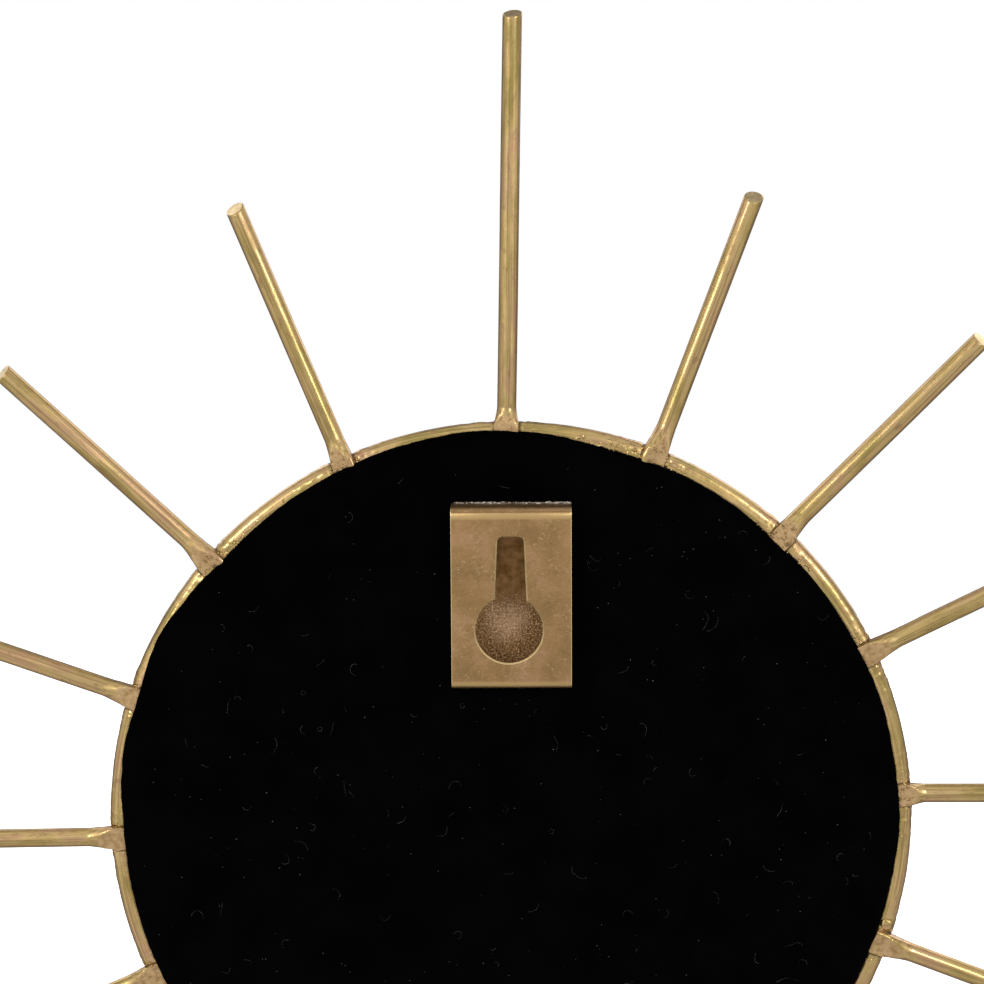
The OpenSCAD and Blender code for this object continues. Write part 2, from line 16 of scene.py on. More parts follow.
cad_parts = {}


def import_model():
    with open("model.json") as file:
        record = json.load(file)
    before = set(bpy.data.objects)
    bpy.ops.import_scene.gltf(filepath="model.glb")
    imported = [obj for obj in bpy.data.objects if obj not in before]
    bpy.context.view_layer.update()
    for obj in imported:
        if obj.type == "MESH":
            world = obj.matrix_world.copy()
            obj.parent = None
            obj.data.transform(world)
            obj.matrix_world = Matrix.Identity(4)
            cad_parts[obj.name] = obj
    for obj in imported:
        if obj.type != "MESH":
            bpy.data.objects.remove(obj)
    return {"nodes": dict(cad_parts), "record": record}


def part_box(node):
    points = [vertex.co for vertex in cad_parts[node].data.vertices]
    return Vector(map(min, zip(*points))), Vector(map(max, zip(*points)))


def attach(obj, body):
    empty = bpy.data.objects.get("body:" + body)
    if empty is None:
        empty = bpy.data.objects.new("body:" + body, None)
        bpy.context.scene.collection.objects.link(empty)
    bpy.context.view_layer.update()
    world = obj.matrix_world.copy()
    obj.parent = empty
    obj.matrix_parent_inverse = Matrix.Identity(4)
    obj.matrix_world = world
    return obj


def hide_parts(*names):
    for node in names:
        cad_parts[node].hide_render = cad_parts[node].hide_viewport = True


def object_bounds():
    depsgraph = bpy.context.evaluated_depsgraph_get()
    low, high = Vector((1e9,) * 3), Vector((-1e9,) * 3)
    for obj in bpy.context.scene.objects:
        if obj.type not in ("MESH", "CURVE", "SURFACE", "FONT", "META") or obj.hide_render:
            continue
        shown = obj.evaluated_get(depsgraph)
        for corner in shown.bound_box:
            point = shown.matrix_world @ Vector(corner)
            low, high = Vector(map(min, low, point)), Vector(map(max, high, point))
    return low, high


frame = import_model()
cad_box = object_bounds()

MM = 0.001

# ---- Measures taken from the frame ----

ring_low, ring_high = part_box("ring")
axis_z = (ring_low.z + ring_high.z) / 2
rod_r = (ring_high.y - ring_low.y) / 2
ring_r = (ring_high.x - ring_low.x) / 2 - rod_r
ring_depth = -(ring_low.y + ring_high.y) / 2


def place(x, up, depth):
    """A point from its place in the dial's plane and its depth."""
    return Vector((x, -depth, axis_z + up))


def on_circle(r, angle, depth):
    """A point at a radius and an angle round the clock's axis, the angle running from +X towards up."""
    return place(r * math.cos(angle), r * math.sin(angle), depth)


def node_points(name):
    """A CAD node's vertices as rows of x, up and depth."""
    co = np.array([v.co for v in frame["nodes"][name].data.vertices])
    return np.stack([co[:, 0], co[:, 2] - axis_z, -co[:, 1]], axis=1)


def reach(name):
    """A CAD node's least and greatest radius about the clock's axis, and least and greatest depth."""
    points = node_points(name)
    radius = np.hypot(points[:, 0], points[:, 1])
    return radius.min(), radius.max(), points[:, 2].min(), points[:, 2].max()


plate_low, plate_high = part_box("hanger_plate")
velvet_low, velvet_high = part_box("velvet_backing")
velvet_back, velvet_front = -velvet_low.y, -velvet_high.y

# ---- Shader helpers ----


class Nodes:
    """A node tree, with a short call for each kind of node."""

    def __init__(self, owner):
        owner.use_nodes = True
        self.tree = owner.node_tree
        self.tree.nodes.clear()

    def put(self, node, socket, value):
        """Gives a node's input a value, or links it to another node's output."""
        target = node.inputs[socket]
        if isinstance(value, bpy.types.NodeSocket):
            self.tree.links.new(value, target)
        elif target.type == "RGBA" and len(value) == 3:
            target.default_value = (*value, 1)
        else:
            target.default_value = value

    def node(self, kind, inputs, **properties):
        """A new node of a kind, with its inputs given and its properties set."""
        made = self.tree.nodes.new("ShaderNode" + kind)
        for key, value in properties.items():
            setattr(made, key, value)
        for socket, value in inputs.items():
            self.put(made, socket, value)
        return made

    def math(self, operation, a, b=0.0):
        """The result of an operation on a and b."""
        return self.node("Math", {0: a, 1: b}, operation=operation).outputs[0]

    def length(self, a, b):
        """The length of the line that goes a to one side and b up."""
        squares = [self.math("MULTIPLY", value, value) for value in (a, b)]
        return self.math("SQRT", self.math("ADD", *squares))

    def fit(self, value, low, high, to_low=0.0, to_high=1.0, interpolation="LINEAR"):
        """A value fitted from one range to another, and held inside it."""
        return self.node("MapRange", {
            "Value": value, "From Min": low, "From Max": high,
            "To Min": to_low, "To Max": to_high}, interpolation_type=interpolation).outputs["Result"]


class Shader(Nodes):
    """A material's nodes round one Principled shader."""

    def __init__(self, name, **inputs):
        self.material = bpy.data.materials.new(name)
        super().__init__(self.material)
        self.principled = self.node("BsdfPrincipled", {})
        self.node("OutputMaterial", {"Surface": self.principled.outputs[0]})
        self.set(**inputs)

    def set(self, **inputs):
        """Values or sockets for the shader's own inputs, with _ for a space in their names."""
        for name, value in inputs.items():
            self.put(self.principled, name.replace("_", " "), value)

    def object_mm(self):
        """The piece's own coordinates, in millimetres."""
        return self.scaled(self.node("TexCoord", {}).outputs["Object"], (1 / MM, 1 / MM, 1 / MM))

    def axis_mm(self):
        """The piece's own coordinates, in millimetres from the clock's axis."""
        return self.node("Mapping", {"Vector": self.object_mm(), "Location": (0, 0, -axis_z / MM)}).outputs[0]

    def attribute(self, name, output="Fac"):
        """What the mesh says at each of its points."""
        return self.node("Attribute", {}, attribute_name=name).outputs[output]

    def scaled(self, vector, scale):
        """A vector with each of its parts multiplied."""
        return self.node("Mapping", {"Vector": vector, "Scale": scale}).outputs[0]

    def noise(self, vector, scale, detail=3.0, rough=0.55, distortion=0.0):
        """Soft cloudy noise from 0 to 1, most of it between 0.3 and 0.7."""
        return self.node("TexNoise", {
            "Vector": vector, "Scale": scale, "Detail": detail,
            "Roughness": rough, "Distortion": distortion}).outputs["Fac"]

    def cells(self, vector, scale, feature="F1"):
        """The distance to the nearest of many scattered points, or to the edge between two of them."""
        made = self.node("TexVoronoi", {"Vector": vector, "Scale": scale}, feature=feature)
        return made.outputs["Distance"]

    def bands(self, vector, scale, distortion):
        """Even bands across the vector's X."""
        return self.node("TexWave", {"Vector": vector, "Scale": scale, "Distortion": distortion},
                         bands_direction="X").outputs["Fac"]

    def ramp(self, value, *stops):
        """A ramp of numbers or colours: each stop is a position and what it gives."""
        made = self.node("ValToRGB", {"Fac": value})
        elements = made.color_ramp.elements
        while len(elements) < len(stops):
            elements.new(0.5)
        for element, (position, given) in zip(elements, stops):
            element.position = position
            element.color = (*given, 1) if isinstance(given, tuple) else (given, given, given, 1)
        return made.outputs["Color"]

    def mix(self, factor, a, b):
        """Colour a at factor 0 and b at 1."""
        return self.node("Mix", {0: factor, 6: a, 7: b}, data_type="RGBA").outputs[2]

    def bump(self, height, distance_mm, normal=None):
        """A normal roughened by a height, on top of another one where that is given."""
        inputs = {"Height": height, "Distance": distance_mm * MM, "Strength": 1.0}
        if normal is not None:
            inputs["Normal"] = normal
        return self.node("Bump", inputs).outputs[0]


# ---- Materials ----


def aged_brass():
    """Drawn brass rod: lines along it, olive and pinkish patches, painted brown shade towards its outline,
    heat stains, filed facets.
    """
    s = Shader("aged_brass", Metallic=1.0)
    local = s.attribute("local", "Vector")
    lines = s.noise(s.scaled(local, (0.035, 3.4, 3.4)), 1.0, 5.0, 0.62)
    patches = s.noise(s.scaled(local, (0.10, 0.40, 0.40)), 1.0, 4.0, 0.62)
    blotches = s.noise(s.scaled(local, (0.42, 1.1, 1.1)), 1.0, 4.0, 0.65)
    # The plain rod.
    colour = s.ramp(patches, (0.36, (0.50, 0.385, 0.125)), (0.46, (0.69, 0.49, 0.19)),
                    (0.54, (0.78, 0.555, 0.245)), (0.62, (0.74, 0.46, 0.25)))
    # Painted shade: the brass darkens to brown towards its outline, where its surface turns away from the
    # eye.
    painted_edge_shade = s.node("LayerWeight", {"Blend": 0.5}).outputs["Facing"]
    colour = s.mix(s.fit(painted_edge_shade, 0.26, 0.66, 0.0, 0.62), colour, (0.42, 0.235, 0.135))
    colour = s.mix(s.fit(lines, 0.50, 0.60, 0.0, 0.62), colour, (0.36, 0.235, 0.095))
    colour = s.mix(s.fit(lines, 0.45, 0.36, 0.0, 0.55), colour, (0.94, 0.70, 0.35))
    colour = s.mix(s.fit(blotches, 0.57, 0.68, 0.0, 0.6), colour, (0.40, 0.235, 0.125))
    # Stains and smears of braze where it was heated.
    grain = s.noise(local, 3.0, 4.0, 0.72)
    heat = s.attribute("heat")
    colour = s.mix(s.math("MULTIPLY", heat, 0.24), colour, (0.88, 0.61, 0.42))
    heated = s.math("MULTIPLY", heat, s.fit(s.noise(local, 0.9, 4.0, 0.65), 0.36, 0.60))
    stain = s.ramp(grain, (0.36, (0.26, 0.145, 0.075)), (0.5, (0.60, 0.385, 0.23)),
                   (0.64, (0.86, 0.63, 0.42)))
    colour = s.mix(heated, colour, stain)
    smears = s.math("MULTIPLY", heat, s.fit(s.noise(local, 1.0, 5.0, 0.7), 0.50, 0.58, 0.0, 0.9))
    colour = s.mix(smears, colour, (0.98, 0.79, 0.57))
    # The filed facet, its pits, the fresh end of the rod, and the dark seam round the foot, which is flux in
    # the joint made darker with painted shade.
    ground = s.attribute("ground")
    worn = s.noise(local, 0.95, 5.0, 0.62)
    filed = s.ramp(worn, (0.36, (0.54, 0.335, 0.158)), (0.48, (0.67, 0.435, 0.215)),
                   (0.60, (0.80, 0.545, 0.285)))
    colour = s.mix(s.math("MULTIPLY", ground, 0.92), colour, filed)
    pitting = s.math("MAXIMUM", s.fit(s.cells(local, 2.6), 0.22, 0.08), s.fit(worn, 0.47, 0.38, 0.0, 0.8))
    pits = s.math("MULTIPLY", s.attribute("pits"), pitting)
    colour = s.mix(pits, colour, (0.20, 0.105, 0.05))
    pale = s.ramp(worn, (0.40, (0.70, 0.52, 0.27)), (0.58, (0.86, 0.66, 0.37)))
    colour = s.mix(s.attribute("fresh"), colour, pale)
    colour = s.mix(s.attribute("seam"), colour, (0.085, 0.048, 0.028))
    dull = s.noise(s.scaled(local, (0.14, 0.5, 0.5)), 1.0, 4.0, 0.6)
    roughness = s.fit(lines, 0.3, 0.7, 0.20, 0.32)
    roughness = s.mix(s.fit(dull, 0.46, 0.64), roughness, (0.46, 0.46, 0.46))
    rougher = s.math("MAXIMUM", s.math("MAXIMUM", ground, heated), s.attribute("seam"))
    roughness = s.mix(rougher, roughness, s.fit(grain, 0.3, 0.7, 0.34, 0.50))
    bump = s.bump(lines, 0.010)
    bump = s.bump(dull, 0.03, bump)
    bump = s.bump(s.math("MULTIPLY", grain, heated), 0.09, bump)
    bump = s.bump(s.math("MULTIPLY", worn, ground), 0.06, bump)
    bump = s.bump(pits, -0.10, bump)
    s.set(Base_Color=colour, Roughness=roughness, Normal=bump)
    return s.material


def sheet_brass():
    """Matt brass sheet: soft blotches, curled scratches and bright specks, with painted highlights along each
    bend and on the rear bevels, and a painted dark line of shade across the top bend.
    """
    s = Shader("hanger_brass", Metallic=1.0)
    mm = s.object_mm()
    cloud = s.noise(mm, 0.17, 5.0, 0.6)
    colour = s.ramp(cloud, (0.36, (0.375, 0.23, 0.098)), (0.5, (0.455, 0.275, 0.119)),
                    (0.62, (0.54, 0.322, 0.165)))
    fine = s.noise(mm, 1.5, 5.0, 0.72)
    colour = s.mix(s.fit(fine, 0.44, 0.32, 0.0, 0.55), colour, (0.27, 0.155, 0.07))
    colour = s.mix(s.fit(fine, 0.57, 0.70, 0.0, 0.5), colour, (0.74, 0.53, 0.29))
    curls = s.noise(mm, 0.5, 4.0, 0.6, 1.4)
    here = s.fit(s.noise(mm, 0.23, 3.0), 0.47, 0.56)
    for level, tone, share in ((0.52, (0.86, 0.64, 0.36), 0.5), (0.46, (0.25, 0.145, 0.065), 0.4)):
        line = s.fit(s.math("ABSOLUTE", s.math("SUBTRACT", curls, level)), 0.011, 0.003, 0.0, share)
        colour = s.mix(s.math("MULTIPLY", line, here), colour, tone)
    specks = s.math("MULTIPLY", s.fit(s.cells(mm, 1.7), 0.20, 0.08), s.fit(s.noise(mm, 0.27), 0.54, 0.64))
    colour = s.mix(s.math("MULTIPLY", specks, 0.75), colour, (0.95, 0.76, 0.48))
    height = s.node("SeparateXYZ", {"Vector": mm}).outputs["Z"]
    low, top = plate_low.z / MM, plate_high.z / MM
    # Painted highlights: bright bands along the top bend and the bottom bend, where they catch the light.
    top_bend_highlight = s.ramp(s.fit(height, top - 3.0, top), (0.30, 0.0), (0.46, 1.0), (0.66, 1.0), (0.74, 0.0))
    bottom_bend_highlight = s.ramp(s.fit(height, low, low + 3.0), (0.05, 0.7), (0.36, 1.0), (0.52, 0.0))
    bend_highlights = s.math("MAXIMUM", top_bend_highlight, bottom_bend_highlight)
    colour = s.mix(s.math("MULTIPLY", bend_highlights, 0.8), colour, (0.78, 0.53, 0.235))
    # Painted shade: a dark line across the top bend.
    line = s.ramp(s.fit(height, top - 3.0, top), (0.72, 0.0), (0.75, 1.0), (0.79, 0.0))
    colour = s.mix(s.math("MULTIPLY", line, 0.7), colour, (0.12, 0.065, 0.03))
    # Painted highlight on the rear-facing bevels.
    edge = s.attribute("edge")
    colour = s.mix(edge, colour, (0.98, 0.75, 0.37))
    dents = s.fit(s.cells(mm, 0.75), 0.12, 0.05)
    roughness = s.fit(fine, 0.3, 0.7, 0.40, 0.52)
    roughness = s.mix(s.math("MAXIMUM", bend_highlights, edge), roughness, (0.37, 0.37, 0.37))
    bump = s.bump(fine, 0.035)
    bump = s.bump(specks, 0.03, bump)
    bump = s.bump(dents, -0.05, bump)
    s.set(Base_Color=colour, Roughness=roughness, Normal=bump)
    return s.material


LIT_SPOT_AT = (0.4, 0.4)      # the middle of the pool of light painted on the cup's back, to the side and up from the keyhole, in mm


def spun_brass():
    """The cup: spun lines round its side; on its grainy back, a painted pool of light behind the keyhole's
    middle, fading to painted shadow round it and painted shade up the slot, with painted glints on the grain.
    """
    s = Shader("cup_brass", Metallic=1.0)
    mm = s.object_mm()
    rings = s.noise(s.scaled(s.axis_mm(), (0.02, 7.0, 0.02)), 1.0, 3.0, 0.6)
    grain = s.noise(mm, 3.0, 4.0, 0.78)
    x, y, z = s.node("SeparateXYZ", {"Vector": mm}).outputs
    back = s.fit(y, -7.0, -6.3)
    # How far from the middle of the painted pool of light, with a ragged rim.
    away = s.length(s.math("SUBTRACT", x, LIT_SPOT_AT[0]), s.math("SUBTRACT", z, LIT_SPOT_AT[1]))
    away = s.math("ADD", away, s.fit(s.noise(mm, 0.5, 3.0), 0.3, 0.7, -1.0, 1.0))
    spots = s.fit(grain, 0.36, 0.66)
    # Painted light on the grain in the pool's middle, and painted shadow round it; both carry painted glints.
    painted_light = s.ramp(spots, (0.0, (0.46, 0.275, 0.14)), (0.5, (0.70, 0.445, 0.255)),
                    (1.0, (1.0, 0.78, 0.54)))
    painted_shadow = s.ramp(spots, (0.0, (0.11, 0.052, 0.018)), (0.5, (0.38, 0.20, 0.078)),
                     (1.0, (0.98, 0.69, 0.38)))
    # Painted shade up in the keyhole's slot.
    plain = s.ramp(s.noise(mm, 0.8, 3.0), (0.35, (0.24, 0.122, 0.036)), (0.65, (0.43, 0.235, 0.10)))
    floor = s.mix(s.fit(away, 1.3, 4.6), painted_light, painted_shadow)
    floor = s.mix(s.fit(z, 3.0, 5.8), floor, plain)
    side = s.ramp(rings, (0.35, (0.60, 0.43, 0.19)), (0.65, (0.74, 0.54, 0.25)))
    colour = s.mix(back, side, floor)
    roughness = s.mix(back, s.fit(rings, 0.3, 0.7, 0.24, 0.36), s.fit(grain, 0.3, 0.7, 0.65, 0.45))
    grained = s.math("MULTIPLY", back, s.fit(z, 6.0, 3.5, 0.15, 1.0))
    bump = s.bump(s.math("MULTIPLY", grain, grained), 0.16)
    bump = s.bump(rings, 0.015, bump)
    s.set(Base_Color=colour, Roughness=roughness, Normal=bump)
    return s.material


def flux():
    """Whitish, glassy flux left on the solder along the hanger's legs."""
    s = Shader("solder_flux", Metallic=0.35, Specular_IOR_Level=0.6)
    grain = s.noise(s.object_mm(), 2.2, 4.0, 0.7)
    s.set(Base_Color=s.ramp(grain, (0.38, (0.09, 0.06, 0.04)), (0.48, (0.36, 0.31, 0.25)),
                            (0.58, (0.80, 0.76, 0.70))),
          Roughness=s.fit(grain, 0.3, 0.7, 0.32, 0.55), Normal=s.bump(grain, 0.10))
    return s.material


def velvet():
    """Dense black pile that gives back almost no light."""
    s = Shader("black_velvet", Specular_IOR_Level=0.0, Roughness=1.0,
               Sheen_Weight=0.006, Sheen_Roughness=0.4, Sheen_Tint=(0.5, 0.5, 0.6, 1))
    mm = s.object_mm()
    lay = s.noise(mm, 0.12, 3.0, 0.5)
    pile = s.noise(mm, 5.0, 3.0, 0.7)
    colour = s.ramp(lay, (0.35, (0.0007, 0.0007, 0.0009)), (0.65, (0.0013, 0.0012, 0.0015)))
    s.set(Base_Color=s.mix(s.fit(pile, 0.6, 0.75, 0.0, 0.6), colour, (0.003, 0.003, 0.004)),
          Normal=s.bump(pile, 0.15))
    return s.material


def lint():
    """Pale grey specks and threads, some lighter than others."""
    s = Shader("lint", Roughness=0.9, Specular_IOR_Level=0.1)
    tint = s.noise(s.object_mm(), 0.4, 2.0)
    s.set(Base_Color=s.ramp(tint, (0.35, (0.022, 0.022, 0.026)), (0.65, (0.11, 0.105, 0.095))))
    return s.material


def turned_brass(name, tone, rough):
    """Polished brass with a faint hairline round the clock's axis."""
    s = Shader(name, Metallic=1.0)
    x, _, z = s.node("SeparateXYZ", {"Vector": s.axis_mm()}).outputs
    hairline = s.noise(s.node("CombineXYZ", {"X": s.length(x, z)}).outputs[0], 5.0, 4.0, 0.7)
    cloud = s.noise(s.object_mm(), 0.09, 3.0)
    light = tuple(min(1.0, c * 1.14) for c in tone)
    dark = tuple(c * 0.84 for c in tone)
    colour = s.mix(s.fit(cloud, 0.35, 0.65), dark, light)
    s.set(Base_Color=colour, Roughness=s.fit(hairline, 0.3, 0.7, rough * 0.8, rough * 1.25),
          Normal=s.bump(hairline, 0.012))
    return s.material


def plated_steel():
    """Bright zinc plate with a faint rolled grain."""
    s = Shader("zinc_steel", Metallic=1.0)
    mm = s.object_mm()
    rolled = s.noise(s.scaled(mm, (0.2, 3.0, 3.0)), 1.0, 4.0, 0.6)
    spangle = s.cells(mm, 0.35)
    colour = s.mix(s.fit(spangle, 0.2, 0.9), (0.50, 0.51, 0.52), (0.68, 0.69, 0.71))
    s.set(Base_Color=colour, Roughness=s.fit(rolled, 0.3, 0.7, 0.25, 0.42), Normal=s.bump(rolled, 0.02))
    return s.material


def moulded(name, low, high, rough, grain_scale=2.2, depth=0.03):
    """Moulded plastic or rubber: a slight drift of tone and a fine moulded texture."""
    s = Shader(name, Specular_IOR_Level=0.4)
    mm = s.object_mm()
    drift = s.noise(mm, 0.07, 2.0)
    grain = s.noise(mm, grain_scale, 3.0, 0.7)
    s.set(Base_Color=s.ramp(drift, (0.35, low), (0.65, high)),
          Roughness=s.fit(grain, 0.3, 0.7, rough - 0.06, rough + 0.08), Normal=s.bump(grain, depth))
    return s.material


def cream_enamel():
    """Satin cream paint with a faint mottle and a few specks."""
    s = Shader("dial_enamel", Coat_Weight=0.25, Coat_Roughness=0.25)
    mm = s.object_mm()
    cloud = s.noise(mm, 0.05, 4.0, 0.55)
    speck = s.fit(s.cells(mm, 0.22), 0.05, 0.02)
    colour = s.ramp(cloud, (0.35, (0.74, 0.68, 0.54)), (0.65, (0.82, 0.77, 0.64)))
    s.set(Base_Color=s.mix(s.math("MULTIPLY", speck, 0.5), colour, (0.45, 0.36, 0.22)),
          Roughness=s.fit(s.noise(mm, 1.5), 0.3, 0.7, 0.42, 0.52),
          Normal=s.bump(s.noise(mm, 3.0, 2.0), 0.008))
    return s.material


def hand_paint():
    """Satin black paint on the hands and the dial's figures."""
    s = Shader("hand_black", Specular_IOR_Level=0.45)
    grain = s.noise(s.object_mm(), 2.5, 3.0)
    s.set(Base_Color=s.ramp(grain, (0.35, (0.010, 0.009, 0.008)), (0.65, (0.020, 0.018, 0.016))),
          Roughness=s.fit(grain, 0.3, 0.7, 0.34, 0.46), Normal=s.bump(grain, 0.01))
    return s.material


def coil_wire():
    """Fine enamelled wire, wound along the coil's length."""
    s = Shader("coil_copper", Metallic=0.6, Coat_Weight=0.4, Coat_Roughness=0.15)
    turns = s.bands(s.object_mm(), 4.0, 0.6)
    s.set(Base_Color=s.mix(turns, (0.20, 0.055, 0.022), (0.62, 0.26, 0.10)), Roughness=0.32,
          Normal=s.bump(turns, 0.06))
    return s.material


def cell_sleeve():
    """The cell's shrunk sleeve: grey, with a plain copper-coloured end and a bare steel pole."""
    s = Shader("cell_jacket", Coat_Weight=0.5, Coat_Roughness=0.1)
    mm = s.object_mm()
    along = s.node("SeparateXYZ", {"Vector": mm}).outputs["X"]
    sleeve = s.mix(s.fit(along, 13.9, 14.0), (0.10, 0.11, 0.12), (0.55, 0.30, 0.12))
    pole = s.math("MAXIMUM", s.fit(along, 24.4, 24.5), s.fit(along, -24.4, -24.5))
    scuff = s.noise(s.scaled(mm, (0.4, 2, 2)), 1.0, 4.0)
    s.set(Base_Color=s.mix(pole, sleeve, (0.62, 0.62, 0.63)), Metallic=s.fit(pole, 0, 1, 0.5, 1.0),
          Roughness=s.fit(scuff, 0.3, 0.7, 0.24, 0.4), Normal=s.bump(scuff, 0.01))
    return s.material


def circuit_lacquer():
    """Green lacquer over copper tracks."""
    s = Shader("board_green", Coat_Weight=0.4, Coat_Roughness=0.12)
    mm = s.object_mm()
    tracks = s.fit(s.cells(s.scaled(mm, (1, 1, 0.3)), 0.8, "DISTANCE_TO_EDGE"), 0.10, 0.06)
    s.set(Base_Color=s.mix(tracks, (0.012, 0.085, 0.045), (0.03, 0.17, 0.09)), Roughness=0.35,
          Normal=s.bump(tracks, 0.03))
    return s.material


def clear_glass():
    """Clear flat glass with the faintest ripple."""
    s = Shader("clear_glass", Base_Color=(0.985, 0.995, 0.99, 1), Roughness=0.0, IOR=1.5,
               Transmission_Weight=1.0)
    s.set(Normal=s.bump(s.noise(s.object_mm(), 0.05, 1.0), 0.002))
    return s.material


MATERIALS = {
    "aged_brass": aged_brass(),
    "cup_brass": spun_brass(),
    "hanger_brass": sheet_brass(),
    "black_velvet": velvet(),
    "bezel_brass": turned_brass("bezel_brass", (0.80, 0.57, 0.25), 0.2),
    "clear_glass": clear_glass(),
    "dial_enamel": cream_enamel(),
    "zinc_steel": plated_steel(),
    "gasket_rubber": moulded("gasket_rubber", (0.012, 0.012, 0.013), (0.022, 0.022, 0.024), 0.7),
    "small_brass": turned_brass("small_brass", (0.78, 0.58, 0.28), 0.26),
    "case_plastic": moulded("case_plastic", (0.016, 0.017, 0.019), (0.026, 0.027, 0.030), 0.5),
    "gear_plastic": moulded("gear_plastic", (0.68, 0.66, 0.60), (0.76, 0.74, 0.68), 0.32, 1.2, 0.01),
    "board_green": circuit_lacquer(),
    "coil_copper": coil_wire(),
    "cell_jacket": cell_sleeve(),
    "hand_black": hand_paint(),
}

# ---- Mesh helpers ----


def piece(name, verts, faces, slot, body="case", nodes=(), material=None, sharp=35, attributes=None):
    """A closed mesh that rides on a body, takes a slot's finish, and stands for the CAD nodes named."""
    mesh = bpy.data.meshes.new(name)
    mesh.from_pydata([tuple(v) for v in verts], [], faces)
    for key, values in (attributes or {}).items():
        values = np.asarray(values, np.float32)
        vector = values.ndim == 2
        made = mesh.attributes.new(key, "FLOAT_VECTOR" if vector else "FLOAT", "POINT")
        made.data.foreach_set("vector" if vector else "value", values.ravel())
    work = bmesh.new()
    work.from_mesh(mesh)
    bmesh.ops.recalc_face_normals(work, faces=work.faces)
    work.to_mesh(mesh)
    work.free()
    return dress(bpy.data.objects.new(name, mesh), slot, body, nodes, material, sharp)


def dress(obj, slot, body, nodes=(), material=None, sharp=35):
    """Links a new mesh object, shades it, gives it its material, parents it to its body, and hides the CAD
    nodes that it stands for.
    """
    if obj.name not in bpy.context.scene.collection.objects:
        bpy.context.scene.collection.objects.link(obj)
    obj.data.materials.clear()
    obj.data.materials.append(material or MATERIALS[slot])
    obj.data.polygons.foreach_set("use_smooth", [True] * len(obj.data.polygons))
    obj.data.set_sharp_from_angle(angle=math.radians(sharp))
    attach(obj, body)
    if nodes:
        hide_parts(*nodes)
    return obj


def skin(rings, closed=False, capped=True):
    """Vertices and faces of a skin over equal rings of points: closed on itself, capped, or open."""
    around = len(rings[0])
    verts = [p for ring in rings for p in ring]
    faces = []
    spans = len(rings) if closed else len(rings) - 1
    for i in range(spans):
        a, b = i * around, (i + 1) % len(rings) * around
        faces += [(a + j, a + (j + 1) % around, b + (j + 1) % around, b + j) for j in range(around)]
    if capped and not closed:
        for ring, start in ((rings[0], 0), (rings[-1], len(verts) - around)):
            centre = sum((Vector(p) for p in ring), Vector()) / around
            faces += [(len(verts), start + j, start + (j + 1) % around) for j in range(around)]
            verts.append(centre)
    return verts, faces


def merged(parts):
    """Several (vertices, faces) as one."""
    verts, faces = [], []
    for part_verts, part_faces in parts:
        faces += [tuple(i + len(verts) for i in f) for f in part_faces]
        verts += list(part_verts)
    return verts, faces


def filleted(corners, radius, steps=4):
    """A closed outline of (r, depth) corners, each rounded with a small arc."""
    out = []
    for i, corner in enumerate(corners):
        here = Vector(corner)
        before = Vector(corners[i - 1]) - here
        after = Vector(corners[(i + 1) % len(corners)]) - here
        reach_mm = min(radius, before.length / 2.2, after.length / 2.2)
        start, end = here + before.normalized() * reach_mm, here + after.normalized() * reach_mm
        for k in range(steps + 1):
            t = k / steps
            out.append(start * (1 - t) ** 2 + here * 2 * t * (1 - t) + end * t * t)
    return out


def turned(outline, segments=256):
    """A closed ring-shaped piece turned about the clock's axis, from a closed outline of (r, depth)."""
    rings = [[on_circle(p[0], 2 * math.pi * i / segments, p[1]) for p in outline] for i in range(segments)]
    return skin(rings, closed=True)


def welded(obj, distance=1e-6):
    """Joins points that lie together, so that the mesh is closed."""
    work = bmesh.new()
    work.from_mesh(obj.data)
    bmesh.ops.remove_doubles(work, verts=work.verts, dist=distance)
    bmesh.ops.dissolve_degenerate(work, edges=work.edges, dist=1e-7)
    bmesh.ops.recalc_face_normals(work, faces=work.faces)
    work.to_mesh(obj.data)
    work.free()
    return obj


def held(t):
    """t, held between 0 and 1."""
    return min(max(t, 0.0), 1.0)


def ease(t):
    """0 to 1 as t goes from 0 to 1, with a gentle start and end."""
    t = held(t)
    return t * t * (3 - 2 * t)


# ---- Rays ----

RAYS = sorted(name for name in frame["nodes"] if name.startswith("ray_"))

# How each foot was hammered and filed, seen from behind with its ray pointing up: its half width on the
# left and on the right at the ring and the length that it spreads over, in millimetres, the slope of the
# filed facet across the foot, and how pitted the facet is.
FEET = {
    "ray_01": (1.9, 2.0, 4.0, 0.10, 0.1),
    "ray_02": (1.9, 1.9, 4.4, -0.03, 0.3),
    "ray_03": (2.4, 1.9, 4.4, 0.40, 0.6),
    "ray_04": (2.0, 1.8, 3.6, 0.46, 0.7),
    "ray_05": (2.0, 2.0, 2.4, 0.18, 0.3),
    "ray_06": (2.3, 1.75, 4.2, -0.36, 0.6),
    "ray_07": (1.75, 1.95, 3.6, 0.06, 1.0),
    "ray_08": (1.9, 2.0, 4.4, -0.12, 0.05),
    "ray_09": (1.8, 1.9, 2.4, 0.0, 0.8),
    "ray_10": (2.0, 2.1, 4.4, -0.34, 0.15),
    "ray_16": (2.1, 2.0, 3.8, 0.05, 0.4),
}
HIDDEN_FOOT = (2.0, 2.0, 3.8, 0.03, 0.4)
FOOT_CREST = 2.55 * MM      # how high the hammered foot would stand above the rod's line, unfiled
FACET_RISE = 1.93 * MM      # height of the filed facet above the rod's line, over the ring
FACET_LEAST = 1.68 * MM     # its least height, where it slopes down to the ring
FACET_SOFT = 0.16 * MM      # how far the unfiled foot must stand above the facet to be filed bright there
FACET_RIM = 0.14 * MM       # how far above and below the facet its edge is worn round
LAP = 1.25 * MM             # how far the foot laps inward past the ring's centre line
LAP_END = 1.35 * MM         # how far outward from there its underside follows the ring
END_RUN = 3 * MM            # the length over which a ray's sections turn to the slant of its cut end
